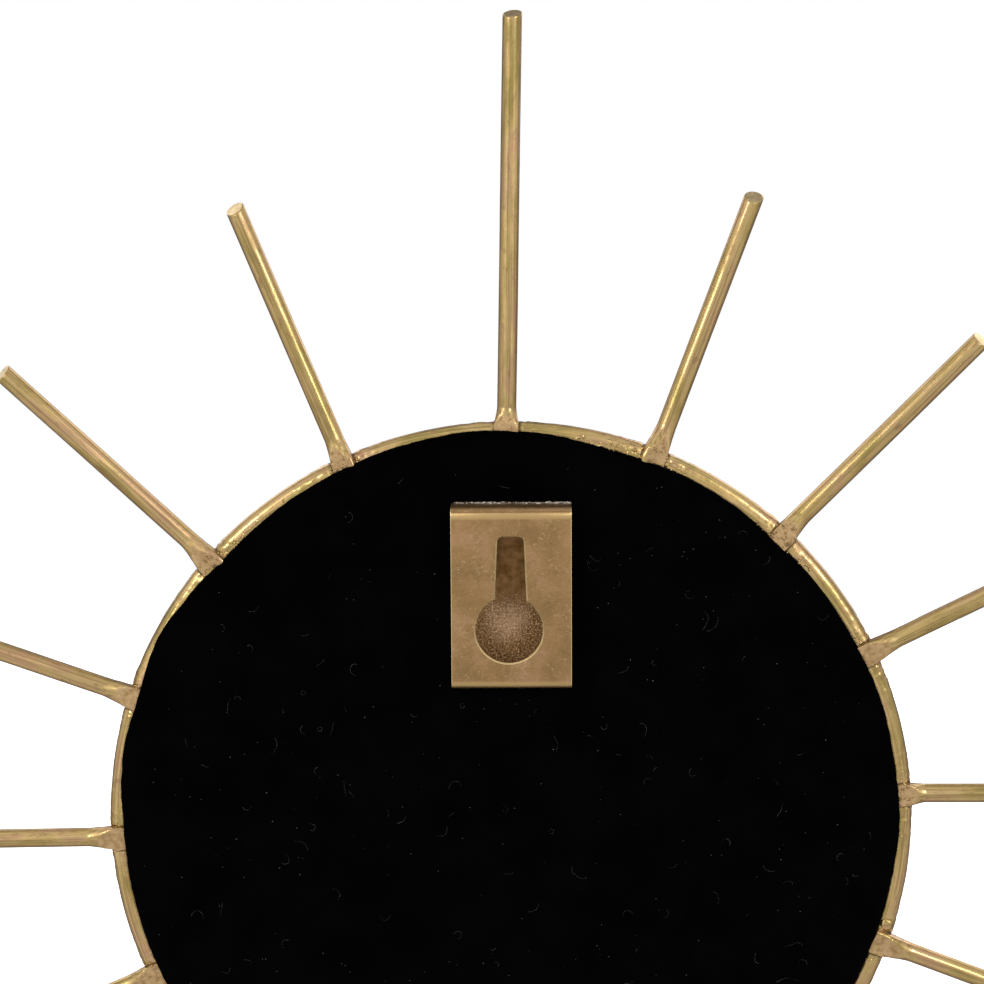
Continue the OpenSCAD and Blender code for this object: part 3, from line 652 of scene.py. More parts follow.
AROUND = 40                 # points round each section of a ray
# How a ray's end was cut, where it is in view: the slope of the cut back and towards its right, and how
# far it reaches beyond its neighbours, in millimetres.
CUT_ENDS = {"ray_03": (0.32, 0.07, 0.7), "ray_04": (0.50, 0.13, 0.1), "ray_05": (0.38, 0.12, 0.4),
            "ray_06": (0.56, 0.19, 0.0)}


def rod_line(name):
    """The point where a ray's line crosses the ring's centre line, its direction, and its tip's distance."""
    points = node_points(name)
    middle = points[:, :2].mean(axis=0)
    out = middle / np.linalg.norm(middle)
    side = np.array([out[1], -out[0]])
    along, across = points[:, :2] @ out, points[:, :2] @ side
    centres = []
    for top in (along.max(), along[along < along.max() - 5 * MM].max()):
        end = np.abs(along - top) < 0.4 * MM
        centres.append(out * along[end].mean() + side * (across[end].min() + across[end].max()) / 2)
    tip, foot = centres
    line = (tip - foot) / np.linalg.norm(tip - foot)
    back = foot @ line - math.sqrt((foot @ line) ** 2 - foot @ foot + ring_r ** 2)
    root = foot - line * back
    return root, line, float((tip - root) @ line)


def ray_stations(tip):
    """Distances along a ray's line at which it has a section: dense at the foot and at the tip."""
    foot = np.concatenate([np.linspace(-LAP, 1.30 * MM, 12), np.linspace(1.45 * MM, 12 * MM, 56)])
    rod = np.linspace(12 * MM, tip - 0.8 * MM, 40)[1:]
    end = tip - np.array([0.45, 0.22, 0.09, 0.02, 0.0]) * MM
    return np.concatenate([foot, rod, end])


def rod_section(s, run):
    """A ray's section at a distance along it, its foot spreading over run: how much of the foot's spread
    and width it has, and its lowest and highest points."""
    spread = held((rod_r + run * MM - s) / (run * MM))
    wide = spread ** 1.4
    low = -rod_r + 0.7 * MM * wide
    if s < LAP_END:
        low = math.sqrt(max(rod_r ** 2 - s ** 2, 0)) - 0.35 * MM
    return spread, wide, low, rod_r + (FOOT_CREST - rod_r) * spread ** 1.3


def filed_height(seed, s, u, w, fall):
    """The height of a foot's point after filing, and how fully it lies on the filed facet."""
    plane = FACET_RISE - 0.02 * max(s - rod_r, 0) + fall * u
    plane = max(plane, FACET_LEAST)
    plane += noise.noise(seed + Vector((s, u, 0)) / (2.2 * MM)) * 0.05 * MM
    cut = held((w - plane) / FACET_SOFT)
    rim = max(FACET_RIM - abs(w - plane), 0.0) / FACET_RIM
    return min(w, plane) - rim * rim * 0.035 * MM, cut


def ray_piece(name):
    """One ray: a drawn rod, hammered wide at its foot, lapped over the ring and filed flat behind."""
    left, right, run, fall, pitted = FEET.get(name, HIDDEN_FOOT)
    root, line, tip = rod_line(name)
    chance = random.Random(name)
    slope, skew, beyond = CUT_ENDS.get(name, (chance.uniform(0.3, 0.5), chance.uniform(-0.12, 0.12), 0.0))
    tip += beyond * MM
    # Seen from behind with the ray pointing up, "right" is this side.
    right_side = Vector((-line[1], 0, line[0]))
    outward = Vector((line[0], 0, line[1]))
    seed = Vector((chance.uniform(0, 90), 0, 0))
    local, heat, ground, fresh = [], [], [], []
    rings = []
    for s in ray_stations(tip):
        spread, wide, low, top = rod_section(s, run)
        middle, half = (top + low) / 2, (top - low) / 2
        power = 2 / (2 + 1.3 * wide)
        # The cut end's rim is broken: the last two sections are smaller, and the one before them a little.
        shrink = 0.86 if tip - s < 0.05 * MM else 0.98 if tip - s < 0.14 * MM else 1.0
        wobble = noise.noise(seed + Vector((s / (30 * MM), 5, 5))) * 0.05 * MM
        at_end = held((s - tip + END_RUN) / END_RUN)
        ring = []
        for j in range(AROUND):
            angle = 2 * math.pi * j / AROUND
            c, d = math.cos(angle), math.sin(angle)
            half_width = rod_r + ((right if c > 0 else left) * MM - rod_r) * wide
            u = half_width * math.copysign(abs(c) ** power, c) * shrink
            w = middle + half * math.copysign(abs(d) ** power, d) * shrink
            rough = noise.noise(seed + Vector((s, u, w)) / (1.1 * MM)) * 0.055 * MM * ease(spread * 1.6)
            worn = noise.noise(seed + Vector((s * 0.12, u, w)) / (1.5 * MM)) * 0.012 * MM
            swell = 1 + (rough + worn) / rod_r
            u, w, cut = u * swell, w * swell, 0.0
            if s < rod_r + (run + 1.5) * MM:
                w, cut = filed_height(seed, s, u, w, fall)
            point_s = s + (skew * u - slope * (w + rod_r)) * at_end
            flat = outward * point_s + right_side * (u + wobble)
            ring.append(Vector((root[0] + flat.x, w - ring_depth, axis_z + root[1] + flat.z)))
            local.append((s / MM + seed.x * 7, u / MM, w / MM))
            heat.append(ease((6 * MM - s) / (5 * MM)) * 0.8)
            ground.append(cut)
            fresh.append(1.0 if tip - s < 0.03 * MM else 0.0)
        rings.append(ring)
    verts, faces = skin(rings)
    for start in (0, (len(rings) - 1) * AROUND):
        local.append(tuple(np.mean(local[start:start + AROUND], axis=0)))
        heat.append(heat[start])
        ground.append(0.0)
        fresh.append(1.0)
    pits = np.array(heat) * np.array(ground) * pitted
    return piece(name + "_rod", verts, faces, "aged_brass", nodes=[name], sharp=42, attributes={
        "local": local, "heat": heat, "ground": ground, "pits": pits, "fresh": fresh})


def root_angle(name):
    """The angle round the ring at which a ray stands."""
    root, _, _ = rod_line(name)
    return math.atan2(root[1], root[0])


ROOTS = {name: root_angle(name) for name in RAYS}

# ---- Ring and brazing ----

# Joints where the braze ran further along the ring: the ray, its side (1 is its right as seen from behind)
# and how many small beads lie there.
TRAILS = {("ray_03", 1): 34, ("ray_06", -1): 70, ("ray_07", 1): 26, ("ray_06", 1): 18, ("ray_04", 1): 16,
          ("ray_04", -1): 14, ("ray_08", -1): 16, ("ray_09", -1): 12}
RING_STEPS = 2200           # sections round the hoop
RING_AROUND = 28            # points round each section
SHOULDER = 0.36 * MM        # how high the braze stands beside the velvet


def shoulder(section):
    """How far braze stands out of the hoop where it fills the hollow beside the velvet's edge."""
    return SHOULDER * max(-math.sin(2 * section), 0) * (math.sin(section) > 0)


def ring_piece():
    """The hoop: lumpy with braze and browned beside every joint, with a dark seam along each foot, part flux
    and part painted shade.
    """
    start = ROOTS["ray_13"]
    rings, local, heat, seam = [], [], [], []
    for i in range(RING_STEPS):
        turn = start + 2 * math.pi * i / RING_STEPS
        beside = []
        for name, root in ROOTS.items():
            off = (turn - root + math.pi) % (2 * math.pi) - math.pi
            # The angle grows towards the right, as seen from behind.
            left, right = FEET.get(name, HIDDEN_FOOT)[:2]
            half = (right if off > 0 else left) * MM
            beside.append(abs(off) * ring_r - half)
        # How far beyond the side of the nearest foot this section lies.
        gap = min(beside)
        near = math.exp(-max(gap, 0) / (4.0 * MM))
        # A narrow seam beside each side of a foot, sunk a little into the hoop and coloured dark: flux in the
        # joint, with painted shade where the foot steps onto the ring.
        dark = math.exp(-((gap - 0.16 * MM) / (0.17 * MM)) ** 2)
        ring = []
        for j in range(RING_AROUND):
            angle = 2 * math.pi * j / RING_AROUND
            c, d = math.cos(angle), math.sin(angle)
            at = Vector((turn * ring_r, rod_r * c, rod_r * d))
            lump = noise.fractal(at / (1.1 * MM), 0.7, 2.0, 3) * 0.16
            lump += abs(noise.noise(at / (2.3 * MM))) * 0.22
            hand = noise.noise(at / (5 * MM)) * 0.035
            r = rod_r + min(lump * near + hand - 0.10 * dark, 0.26) * MM
            r += shoulder(angle) * (1 + 0.28 * noise.noise(at / (4 * MM)))
            ring.append(on_circle(ring_r + r * c, turn, ring_depth - r * d))
            local.append((i / RING_STEPS * 2 * math.pi * ring_r / MM, r * c / MM, r * d / MM))
            heat.append(min(1.0, 0.5 + near))
            seam.append(dark)
        rings.append(ring)
    verts, faces = skin(rings, closed=True)
    return piece("ring_hoop", verts, faces, "aged_brass", nodes=["ring"], sharp=60, attributes={
        "local": local, "heat": heat, "seam": seam})


def offset(chance):
    """A random way into the noise, so that no two lumps are alike."""
    return Vector((chance.uniform(0, 99), 0, 0))


def blob(centre, radii, seed, amount):
    """A small closed lump of braze, solder or dust, dented by an amount."""
    made = bmesh.new()
    bmesh.ops.create_icosphere(made, subdivisions=3, radius=1.0)
    verts = []
    for v in made.verts:
        swell = 1 + amount * noise.noise(v.co * 1.7 + seed)
        verts.append(Vector([centre[k] + v.co[k] * radii[k] * swell for k in range(3)]))
    faces = [tuple(v.index for v in f.verts) for f in made.faces]
    made.free()
    return verts, faces


def braze_piece():
    """Beads of braze in the corners of each joint, and trails of them along the ring beside a few."""
    chance = random.Random(11)
    parts = []

    def bead(turn, section, size):
        """A lump half sunk in the hoop, at an angle round the ring and an angle round its section."""
        sunk = rod_r + shoulder(section) - 0.45 * size
        centre = on_circle(ring_r + sunk * math.cos(section), turn, ring_depth - sunk * math.sin(section))
        stretch = chance.uniform(0.7, 1.4)
        parts.append(blob(centre, (size * stretch, size * 0.75, size / stretch), offset(chance), 0.4))

    for name, root in ROOTS.items():
        left, right = FEET.get(name, HIDDEN_FOOT)[:2]
        for side, half in ((1, right), (-1, left)):
            for _ in range(4):
                off = side * (half + chance.uniform(0.0, 0.8)) * MM / ring_r
                bead(root + off, math.radians(chance.uniform(40, 130)), chance.uniform(0.16, 0.36) * MM)
            trail = TRAILS.get((name, side), 5)
            for _ in range(trail):
                off = half + 0.4 + chance.uniform(0, 2) + chance.expovariate(4.5 / math.sqrt(trail)) * 1.6
                size = chance.uniform(0.12 + 0.0015 * trail, 0.24 + 0.0045 * trail) * MM
                bead(root + side * off * MM / ring_r, math.radians(chance.uniform(75, 140)), size)
    # One large smooth bead, beside the joint of ray_10.
    centre = on_circle(ring_r, ROOTS["ray_10"] - 3.5 * MM / ring_r, ring_depth - 1.2 * MM)
    parts.append(blob(centre, (1.3 * MM, 0.95 * MM, 1.3 * MM), Vector((3, 0, 0)), 0.14))
    verts, faces = merged(parts)
    local = [(v.x / MM, v.y / MM, v.z / MM) for v in verts]
    return piece("braze_beads", verts, faces, "aged_brass", sharp=60, attributes={
        "local": local, "heat": np.ones(len(verts))})


# ---- Velvet ----

EDGE_ROLL = 0.42 * MM       # how far out from the hanger's hole the velvet is rounded off
EDGE_FALL = 1.6 * MM        # how far in from its outer edge the velvet begins to bend down to the ring
CUT_SLACK = 0.2 * MM        # the gap between the hanger's legs and the velvet's hole
TUCK = 0.8 * MM             # how far the velvet reaches in under the hanger's open sides
# The velvet was cut by hand: its radius in millimetres at a few angles, from +X towards up, in degrees.
VELVET_CUT = [(-25, 65.4), (-8, 65.4), (0, 65.6), (6, 66.2), (12, 66.5), (18, 66.2), (29, 67.1), (36, 66.4),
              (44, 65.7), (58, 66.2), (76, 66.7), (84, 66.9), (92, 66.6), (106, 65.6), (120, 65.8),
              (134, 65.2), (148, 65.4), (163, 65.7), (171, 65.5), (180, 65.8), (192, 65.1), (199, 64.9),
              (206, 65.0), (250, 65.5), (300, 65.3)]
VELVET_POINTS = 1080        # points round its edge


def velvet_radius(angle):
    """The radius of the velvet's edge, eased from each listed point to the next."""
    degrees = (math.degrees(angle) - VELVET_CUT[0][0]) % 360 + VELVET_CUT[0][0]
    points = VELVET_CUT + [(VELVET_CUT[0][0] + 360, VELVET_CUT[0][1])]
    for (a, r0), (b, r1) in zip(points, points[1:]):
        if degrees <= b:
            return (r0 + (r1 - r0) * ease((degrees - a) / (b - a))) * MM
    return VELVET_CUT[0][1] * MM


def velvet_outline(inset=0.0):
    """The hand-cut outer edge as (x, up) points, or a line a little way in from it, which runs smoother."""
    points = []
    for i in range(VELVET_POINTS):
        angle = 2 * math.pi * i / VELVET_POINTS
        nick = noise.noise(Vector((math.cos(angle), math.sin(angle), 0)) * 42) * 0.10 * MM
        r = velvet_radius(angle) + nick * (1 - inset) - inset * EDGE_FALL
        points.append(Vector((r * math.cos(angle), r * math.sin(angle))))
    return points


def cutout_outline(inset=0.0):
    """The ragged edge of the velvet's hole round the hanger, or a line a little way out from it."""
    slack = CUT_SLACK + inset * EDGE_ROLL
    low = Vector((plate_low.x + TUCK - slack, plate_low.z - axis_z - slack))
    high = Vector((plate_high.x - TUCK + slack, plate_high.z - axis_z + slack))
    corners = [low, Vector((low.x, high.y)), high, Vector((high.x, low.y))]
    points = []
    for i, corner in enumerate(corners):
        after = corners[(i + 1) % 4]
        count = (100, 68)[i % 2]
        for k in range(count):
            point = corner.lerp(after, k / count)
            ragged = noise.noise_vector(Vector((k / count * 33 + i * 50, 0, 7))) * 0.20 * MM
            points.append(point + ragged.xy * (1 - inset))
    return points


def cloth_cap(outer, hole, spacing, height):
    """Triangles that fill the outer loop and leave the hole open, over a grid of points."""
    points = list(outer) + list(hole)
    edges, first = [], 0
    for loop in (outer, hole):
        edges += [(first + i, first + (i + 1) % len(loop)) for i in range(len(loop))]
        first += len(loop)
    low = Vector((min(p.x for p in hole), min(p.y for p in hole)))
    high = Vector((max(p.x for p in hole), max(p.y for p in hole)))
    clear = Vector((0.4 * MM, 0.4 * MM))
    wide_low, wide_high = low - clear, high + clear
    # Enough steps each way to reach past the velvet's edge.
    steps = int(70 * MM / spacing)
    for i in range(-steps, steps + 1):
        for k in range(-steps, steps + 1):
            p = Vector(((i + 0.5 * (k % 2)) * spacing, k * spacing * 0.87))
            at_hole = wide_low.x < p.x < wide_high.x and wide_low.y < p.y < wide_high.y
            if p.length < velvet_radius(math.atan2(p.y, p.x)) - EDGE_FALL - 0.7 * MM and not at_hole:
                points.append(p)
    found = geometry.delaunay_2d_cdt(points, edges, [], 1, 1e-9)
    faces = []
    for face in found[2]:
        centre = sum((found[0][i] for i in face), Vector((0, 0))) / len(face)
        if not (low.x < centre.x < high.x and low.y < centre.y < high.y):
            faces.append(tuple(face))
    return [place(p.x, p.y, height(p)) for p in found[0]], faces


def velvet_piece():
    """The velvet: a soft flat cover with rolled edges, cut out round the hanger."""
    thick = velvet_back - velvet_front
    # The edges: how far in from the cut each line lies, and its share of the cloth's thickness.
    rolled = [(1.0, 0.0), (0.5, 0.06), (0.12, 0.22), (0.0, 0.45), (0.1, 0.8), (1.0, 1.0)]
    bent = [(1.0, 0.0), (0.75, 0.05), (0.5, 0.2), (0.28, 0.45), (0.1, 0.75), (0.0, 1.05), (0.03, 1.35),
            (0.3, 1.3), (1.0, 1.0)]

    def dip(p):
        """How far the velvet's face lies off the flat at a point."""
        return noise.noise(Vector((p.x, p.y, 0)) / (7 * MM)) * 0.05 * MM

    parts = []
    for outline, profile in ((velvet_outline, bent), (cutout_outline, rolled)):
        rows = []
        for inset, share in profile:
            sink = 1.0 if share < 0.01 else 0.0
            depth = velvet_front + share * thick
            rows.append([place(p.x, p.y, depth + sink * dip(p)) for p in outline(inset)])
        parts.append(skin(rows, capped=False))
    loops = velvet_outline(1.0), cutout_outline(1.0)
    parts.append(cloth_cap(*loops, 1.6 * MM, lambda p: velvet_front + dip(p)))
    parts.append(cloth_cap(*loops, 6 * MM, lambda p: velvet_back))
    made = piece("velvet_cover", *merged(parts), "black_velvet", nodes=["velvet_backing"], sharp=80)
    return welded(made, 2e-6)


def fibre(points, radius):
    """A thin closed thread along a few points, tapered at its free end."""
    rings = []
    for i, p in enumerate(points):
        along = (points[min(i + 1, len(points) - 1)] - points[max(i - 1, 0)]).normalized()
        side = along.cross(Vector((0, 1, 0.05))).normalized()
        over = along.cross(side)
        r = radius * (1 - 0.75 * i / (len(points) - 1))
        rings.append([p + side * r * math.cos(a) + over * r * math.sin(a)
                      for a in (0, 2 * math.pi / 3, 4 * math.pi / 3)])
    return skin(rings)


def fuzz_piece():
    """Short fibres that stand out of the velvet's cut edges."""
    chance = random.Random(5)
    hole = cutout_outline()
    hole_middle = sum(hole, Vector((0, 0))) / len(hole)
    # Each edge: its points, its middle, the way that its fibres lean from there, how many there are, and
    # how deep they start behind the velvet's face, in millimetres.
    edges = ((velvet_outline(), Vector((0, 0)), 1, 2600, (0.8, 1.3)),
             (hole, hole_middle, -1, 420, (0.25, 0.85)))
    parts = []
    for outline, middle, way, count, sunk in edges:
        for _ in range(count):
            p = outline[chance.randrange(len(outline))]
            away = ((p - middle) * way).normalized()
            lean = Vector((-away.y, away.x)) * chance.uniform(-0.8, 0.8)
            length = chance.uniform(0.15, 0.45) * MM
            depth = velvet_front + chance.uniform(*sunk) * MM
            start = p - away * 0.12 * MM
            path = []
            for k in range(3):
                flat = start + (away + lean * k / 2) * length * k / 2
                path.append(place(flat.x, flat.y, depth - chance.uniform(0, 0.12) * MM * k))
            parts.append(fibre(path, 0.022 * MM))
    return piece("velvet_fuzz", *merged(parts), "black_velvet")


LINT_R = 63 * MM            # how far out on the velvet the lint lies


def lint_piece():
    """Specks and curled threads of lint that lie on the velvet."""
    chance = random.Random(23)
    parts = []

    def spot():
        """A place on the velvet, clear of the hanger."""
        while True:
            angle, r = chance.uniform(0, 2 * math.pi), LINT_R * math.sqrt(chance.random())
            x, up = r * math.cos(angle), r * math.sin(angle)
            z = up + axis_z
            if not (plate_low.x - 2 * MM < x < plate_high.x + 2 * MM
                    and plate_low.z - 2 * MM < z < plate_high.z + 2 * MM):
                return x, up

    for _ in range(280):
        x, up = spot()
        size = chance.uniform(0.03, 0.075) * MM
        centre = place(x, up, velvet_front - size * 0.4)
        radii = (size * chance.uniform(0.7, 1.6), size * 0.6, size)
        parts.append(blob(centre, radii, offset(chance), 0.5))
    for _ in range(130):
        x, up = spot()
        heading, curl = chance.uniform(0, 2 * math.pi), chance.uniform(-0.5, 0.5)
        step = chance.uniform(0.18, 0.34) * MM
        path = []
        for _ in range(chance.randint(5, 14)):
            path.append(place(x, up, velvet_front - chance.uniform(0.02, 0.08) * MM))
            heading += curl + chance.uniform(-0.35, 0.35)
            x, up = x + step * math.cos(heading), up + step * math.sin(heading)
        parts.append(fibre(path, chance.uniform(0.014, 0.026) * MM))
    return piece("velvet_lint", *merged(parts), "black_velvet", material=lint(), sharp=60)


# ---- Hanger ----

PLATE_T = 1.2 * MM          # the strip's thickness
BEND_R = 1.5 * MM           # the outer radius of its two bends
KEY_R = 5.6 * MM            # the keyhole's round part
SLOT_LOW = 5.2 * MM         # the slot's width where it leaves the round part
SLOT_TOP = 4.4 * MM         # its width at its end
SLOT_REACH = 15.6 * MM      # height of its end above the round part's centre
SLOT_OFF = -0.3 * MM        # how far it sits to one side
KEY_BEVEL = 0.24 * MM       # the bevel round the keyhole


def walled(rings):
    """A closed bmesh with walls from each ring of points to the next and one flat face at each end."""
    made = bmesh.new()
    rows = [[made.verts.new(p) for p in ring] for ring in rings]
    for a, b in zip(rows, rows[1:]):
        for j in range(len(a)):
            k = (j + 1) % len(a)
            made.faces.new((a[j], a[k], b[k], b[j]))
    made.faces.new(rows[0])
    made.faces.new(rows[-1])
    return made


def bent_strip():
    """The hanger as a bent strip: its side outline, run across the plate's width."""
    low, top = plate_low.z, plate_high.z
    foot = plate_low.y
    bend, inner = BEND_R, BEND_R - PLATE_T

    def arc(cy, cz, r, a0, a1, steps=10):
        """Points on an arc from angle a0 to a1, in degrees from the wall's side towards up."""
        return [(cy + r * math.cos(math.radians(a0 + (a1 - a0) * k / steps)),
                 cz + r * math.sin(math.radians(a0 + (a1 - a0) * k / steps))) for k in range(steps + 1)]

    outline = [(foot, top), (foot, top - PLATE_T)]
    outline += arc(-PLATE_T - inner, top - PLATE_T - inner, inner, 90, 0, 5)
    outline += arc(-PLATE_T - inner, low + PLATE_T + inner, inner, 0, -90, 5)
    outline += [(foot, low + PLATE_T), (foot, low)]
    outline += arc(-bend, low + bend, bend, 270, 360)
    outline += arc(-bend, top - bend, bend, 0, 90)
    return walled([[(x, y, z) for y, z in outline] for x in (plate_low.x, plate_high.x)])


def keyhole_outline(grow):
    """The keyhole's outline as (x, z) points, grown outward by an even margin."""
    points = []
    r, half_low, half_top = KEY_R + grow, SLOT_LOW / 2 + grow, SLOT_TOP / 2 + grow
    left = math.asin((half_low - SLOT_OFF) / r)
    right = math.asin((half_low + SLOT_OFF) / r)
    for k in range(97):
        angle = math.pi / 2 + left + (2 * math.pi - left - right) * k / 96
        points.append((r * math.cos(angle), r * math.sin(angle)))
    corner = 0.9 * MM + grow
    for side, start in ((1, 0), (-1, 90)):
        for k in range(9):
            a = math.radians(start + 90 * k / 8)
            points.append((SLOT_OFF + side * (half_top - corner) + corner * math.cos(a),
                           SLOT_REACH + grow - corner + corner * math.sin(a)))
    return points


def keyhole_cutter():
    """A punch through the plate with the keyhole's outline, flared at the rear face for the bevel."""
    levels = ((-PLATE_T - 1 * MM, 0.0), (-KEY_BEVEL, 0.0), (0.5 * MM, KEY_BEVEL + 0.5 * MM))
    return walled([[(x, y, z) for x, z in keyhole_outline(grow)] for y, grow in levels])


def loose_object(name, made):
    """A new object in the scene from a bmesh, with its faces turned outward."""
    bmesh.ops.recalc_face_normals(made, faces=made.faces)
    mesh = bpy.data.meshes.new(name)
    made.to_mesh(mesh)
    made.free()
    obj = bpy.data.objects.new(name, mesh)
    bpy.context.scene.collection.objects.link(obj)
    return obj


def apply_modifiers(obj):
    """Makes what the modifiers show the object's own mesh."""
    bpy.context.view_layer.update()
    shown = obj.evaluated_get(bpy.context.evaluated_depsgraph_get())
    mesh = bpy.data.meshes.new_from_object(shown)
    obj.modifiers.clear()
    obj.data = mesh


def hanger_piece():
    """The keyhole plate, its cut edges broken with a narrow bevel; the bevels that face the rear are marked
    to take a painted highlight.
    """
    strip = loose_object("hanger_strip", bent_strip())
    cutter = loose_object("keyhole_cutter", keyhole_cutter())
    cut = strip.modifiers.new("keyhole", "BOOLEAN")
    cut.operation, cut.object, cut.solver = "DIFFERENCE", cutter, "EXACT"
    apply_modifiers(strip)
    bpy.data.objects.remove(cutter)
    bevel = strip.modifiers.new("edges", "BEVEL")
    bevel.width, bevel.segments, bevel.limit_method = 0.12 * MM, 2, "ANGLE"
    bevel.angle_limit = math.radians(60)
    apply_modifiers(strip)
    welded(strip)
    # Faces that take the painted highlight: the slanted bevels that face the rear, away from the bends.
    edge = []
    for face in strip.data.polygons:
        _, y, z = face.center
        slanted = 0.3 < face.normal.y < 0.97 and y > -PLATE_T
        bend = min(z - plate_low.z, plate_high.z - z) < BEND_R and abs(face.normal.x) < 0.1
        edge.append(1.0 if slanted and not bend else 0.0)
    strip.data.attributes.new("edge", "FLOAT", "FACE").data.foreach_set("value", edge)
    return dress(strip, "hanger_brass", "case", ["hanger_plate"], sharp=30)


def solder_piece():
    """Rough solder and flux along the hanger's two legs, thicker along part of the top one."""
    chance = random.Random(31)
    foot = plate_low.y
    parts = []
    for z, out in ((plate_high.z, 1), (plate_low.z, -1)):
        x = plate_low.x + 0.2 * MM
        while x < plate_high.x - 0.2 * MM:
            # How far along the leg this is, from its +X end.
            share = (plate_high.x - x) / (plate_high.x - plate_low.x)
            heavy = out > 0 and (0.22 < share < 0.45 or share > 0.58)
            size = chance.uniform(0.10, 0.20 + 0.10 * heavy) * MM
            centre = Vector((x, foot + chance.uniform(0.9, 1.25 + 0.35 * heavy) * MM,
                             z + out * chance.uniform(0.0, 0.10) * MM))
            radii = (size * chance.uniform(0.8, 2.2), size, size * 0.8)
            parts.append(blob(centre, radii, offset(chance), 0.6))
            x += chance.uniform(0.10, 0.34 if heavy else 0.7) * MM
    return piece("hanger_solder", *merged(parts), "aged_brass", material=flux(), sharp=70)


# ---- Front ----

BEZEL_STEP = 2.2 * MM       # how far out the fine step round the bezel's sight edge reaches
BEZEL_ROLL = 4.3 * MM       # how deep its rolled face is
NUMBER_SIZE = 9.5 * MM      # the height of the dial's type
NUMBERS_IN = 10.6 * MM      # how far in from the dial's sight edge the numbers' middles lie
MARKS_IN = 1.6 * MM         # how far in from it the minute marks begin
HOUR_MARK = (0.55 * MM, 5.0 * MM)       # a mark's half width, and how far in it ends
MINUTE_MARK = (0.16 * MM, 3.4 * MM)


def bezel_piece():
    """The bezel: a rolled brass ring with a fine step round its sight edge."""
    sight, outer, back, front = reach("bezel")
    _, lens_r, _, lens_front = reach("lens")
    _, flange_r, _, flange_front = reach("insert_pan")
    corners = [(outer, back), (outer, front - BEZEL_ROLL - 0.3 * MM)]
    wide = outer - sight - BEZEL_STEP
    for k in range(15):
        a = math.radians(90 * k / 14)
        corners.append((sight + BEZEL_STEP + wide * math.cos(a),
                        front - 0.1 * MM - BEZEL_ROLL * (1 - math.sin(a))))
    corners += [(sight + 1.9 * MM, front - 0.5 * MM), (sight + 1.5 * MM, front - 0.15 * MM),
                (sight + 0.5 * MM, front - 0.15 * MM), (sight, front - 0.6 * MM), (sight, lens_front),
                (lens_r, lens_front), (lens_r, flange_front), (flange_r, flange_front), (flange_r, back)]
    outline = filleted(corners, 0.18 * MM, 2)
    return piece("bezel_ring", *turned(outline, 360), "bezel_brass", "insert", ["bezel"])


def lens_piece():
    """The glass: a flat disc with softened edges."""
    _, r, back, front = reach("lens")
    # The outline stops just short of the axis, and the weld closes the gap.
    outline = filleted([(r, back), (r, front), (0.02 * MM, front), (0.02 * MM, back)], 0.2 * MM, 3)
    made = piece("lens_glass", *turned(outline), "clear_glass", "insert", ["lens"])
    made.visible_shadow = False
    return welded(made, 5e-6)


def prism(outline, back, front):
    """A closed flat shape of (x, up) points between two depths."""
    rings = [[place(x, up, depth) for x, up in outline] for depth in (back, front)]
    return skin(rings)


def dial_marks_piece():
    """The minute track: sixty marks printed on the dial, heavier at the hours, inside a fine circle."""
    sight = reach("dial_ring")[0]
    face = reach("dial")[3]
    sunk, proud = face - 0.005 * MM, face + 0.03 * MM
    parts = []
    for k in range(60):
        half, inner = HOUR_MARK if k % 5 == 0 else MINUTE_MARK
        a = math.radians(6 * k)
        out, side = Vector((math.sin(a), math.cos(a))), Vector((math.cos(a), -math.sin(a)))
        corners = [out * (sight - r) + side * u
                   for r, u in ((inner, -half), (MARKS_IN, -half), (MARKS_IN, half), (inner, half))]
        parts.append(prism([tuple(c) for c in corners], sunk, proud))
    near, far = sight - 1.45 * MM, sight - 1.25 * MM
    parts.append(turned([(near, sunk), (far, sunk), (far, proud), (near, proud)]))
    return piece("dial_marks", *merged(parts), "hand_black", "insert")


def numerals_piece():
    """The hour numbers, upright, printed on the dial."""
    sight = reach("dial_ring")[0]
    face = reach("dial")[3]
    made = []
    for hour in range(1, 13):
        curve = bpy.data.curves.new(f"number_{hour}", "FONT")
        curve.body = str(hour)
        curve.size = NUMBER_SIZE
        curve.align_x, curve.align_y = "CENTER", "CENTER"
        curve.extrude = 0.015 * MM
        obj = bpy.data.objects.new(curve.name, curve)
        bpy.context.scene.collection.objects.link(obj)
        a = math.radians(30 * hour)
        r = sight - NUMBERS_IN
        obj.matrix_world = (Matrix.Translation(place(r * math.sin(a), r * math.cos(a), face + 0.012 * MM))
                            @ Matrix.Rotation(math.radians(90), 4, "X"))
        made.append(obj)
    bpy.context.view_layer.update()
    graph = bpy.context.evaluated_depsgraph_get()
    parts = []
    for obj in made:
        mesh = bpy.data.meshes.new_from_object(obj.evaluated_get(graph))
        parts.append(([obj.matrix_world @ v.co for v in mesh.vertices],
                      [tuple(p.vertices) for p in mesh.polygons]))
        bpy.data.objects.remove(obj)
    return welded(piece("dial_numbers", *merged(parts), "hand_black", "insert"))


def hand_direction(name):
    """The unit vector in the dial's plane from the axis to a hand's tip, and the hand's length."""
    points = node_points(name)
    radius = np.hypot(points[:, 0], points[:, 1])
    tip = points[radius > radius.max() - 0.3 * MM][:, :2].mean(axis=0)
    return Vector(tip).normalized(), float(radius.max())


def blade(name, widths, back, thick, tail):
    """A hand's blade with a ridge down its middle, from half widths at shares of its length."""
    out, length = hand_direction(name)
    side = Vector((out.y, -out.x))
    rings = []
    for share, half in widths:
        at = out * (length * share if share >= 0 else share * tail)
        h = half * MM
        row = [(-h, 0.0), (-h, 0.45), (0.0, 1.0), (h, 0.45), (h, 0.0), (0.0, 0.0)]
        rings.append([place(at.x + side.x * u, at.y + side.y * u, back + v * thick) for u, v in row])
    return skin(rings)


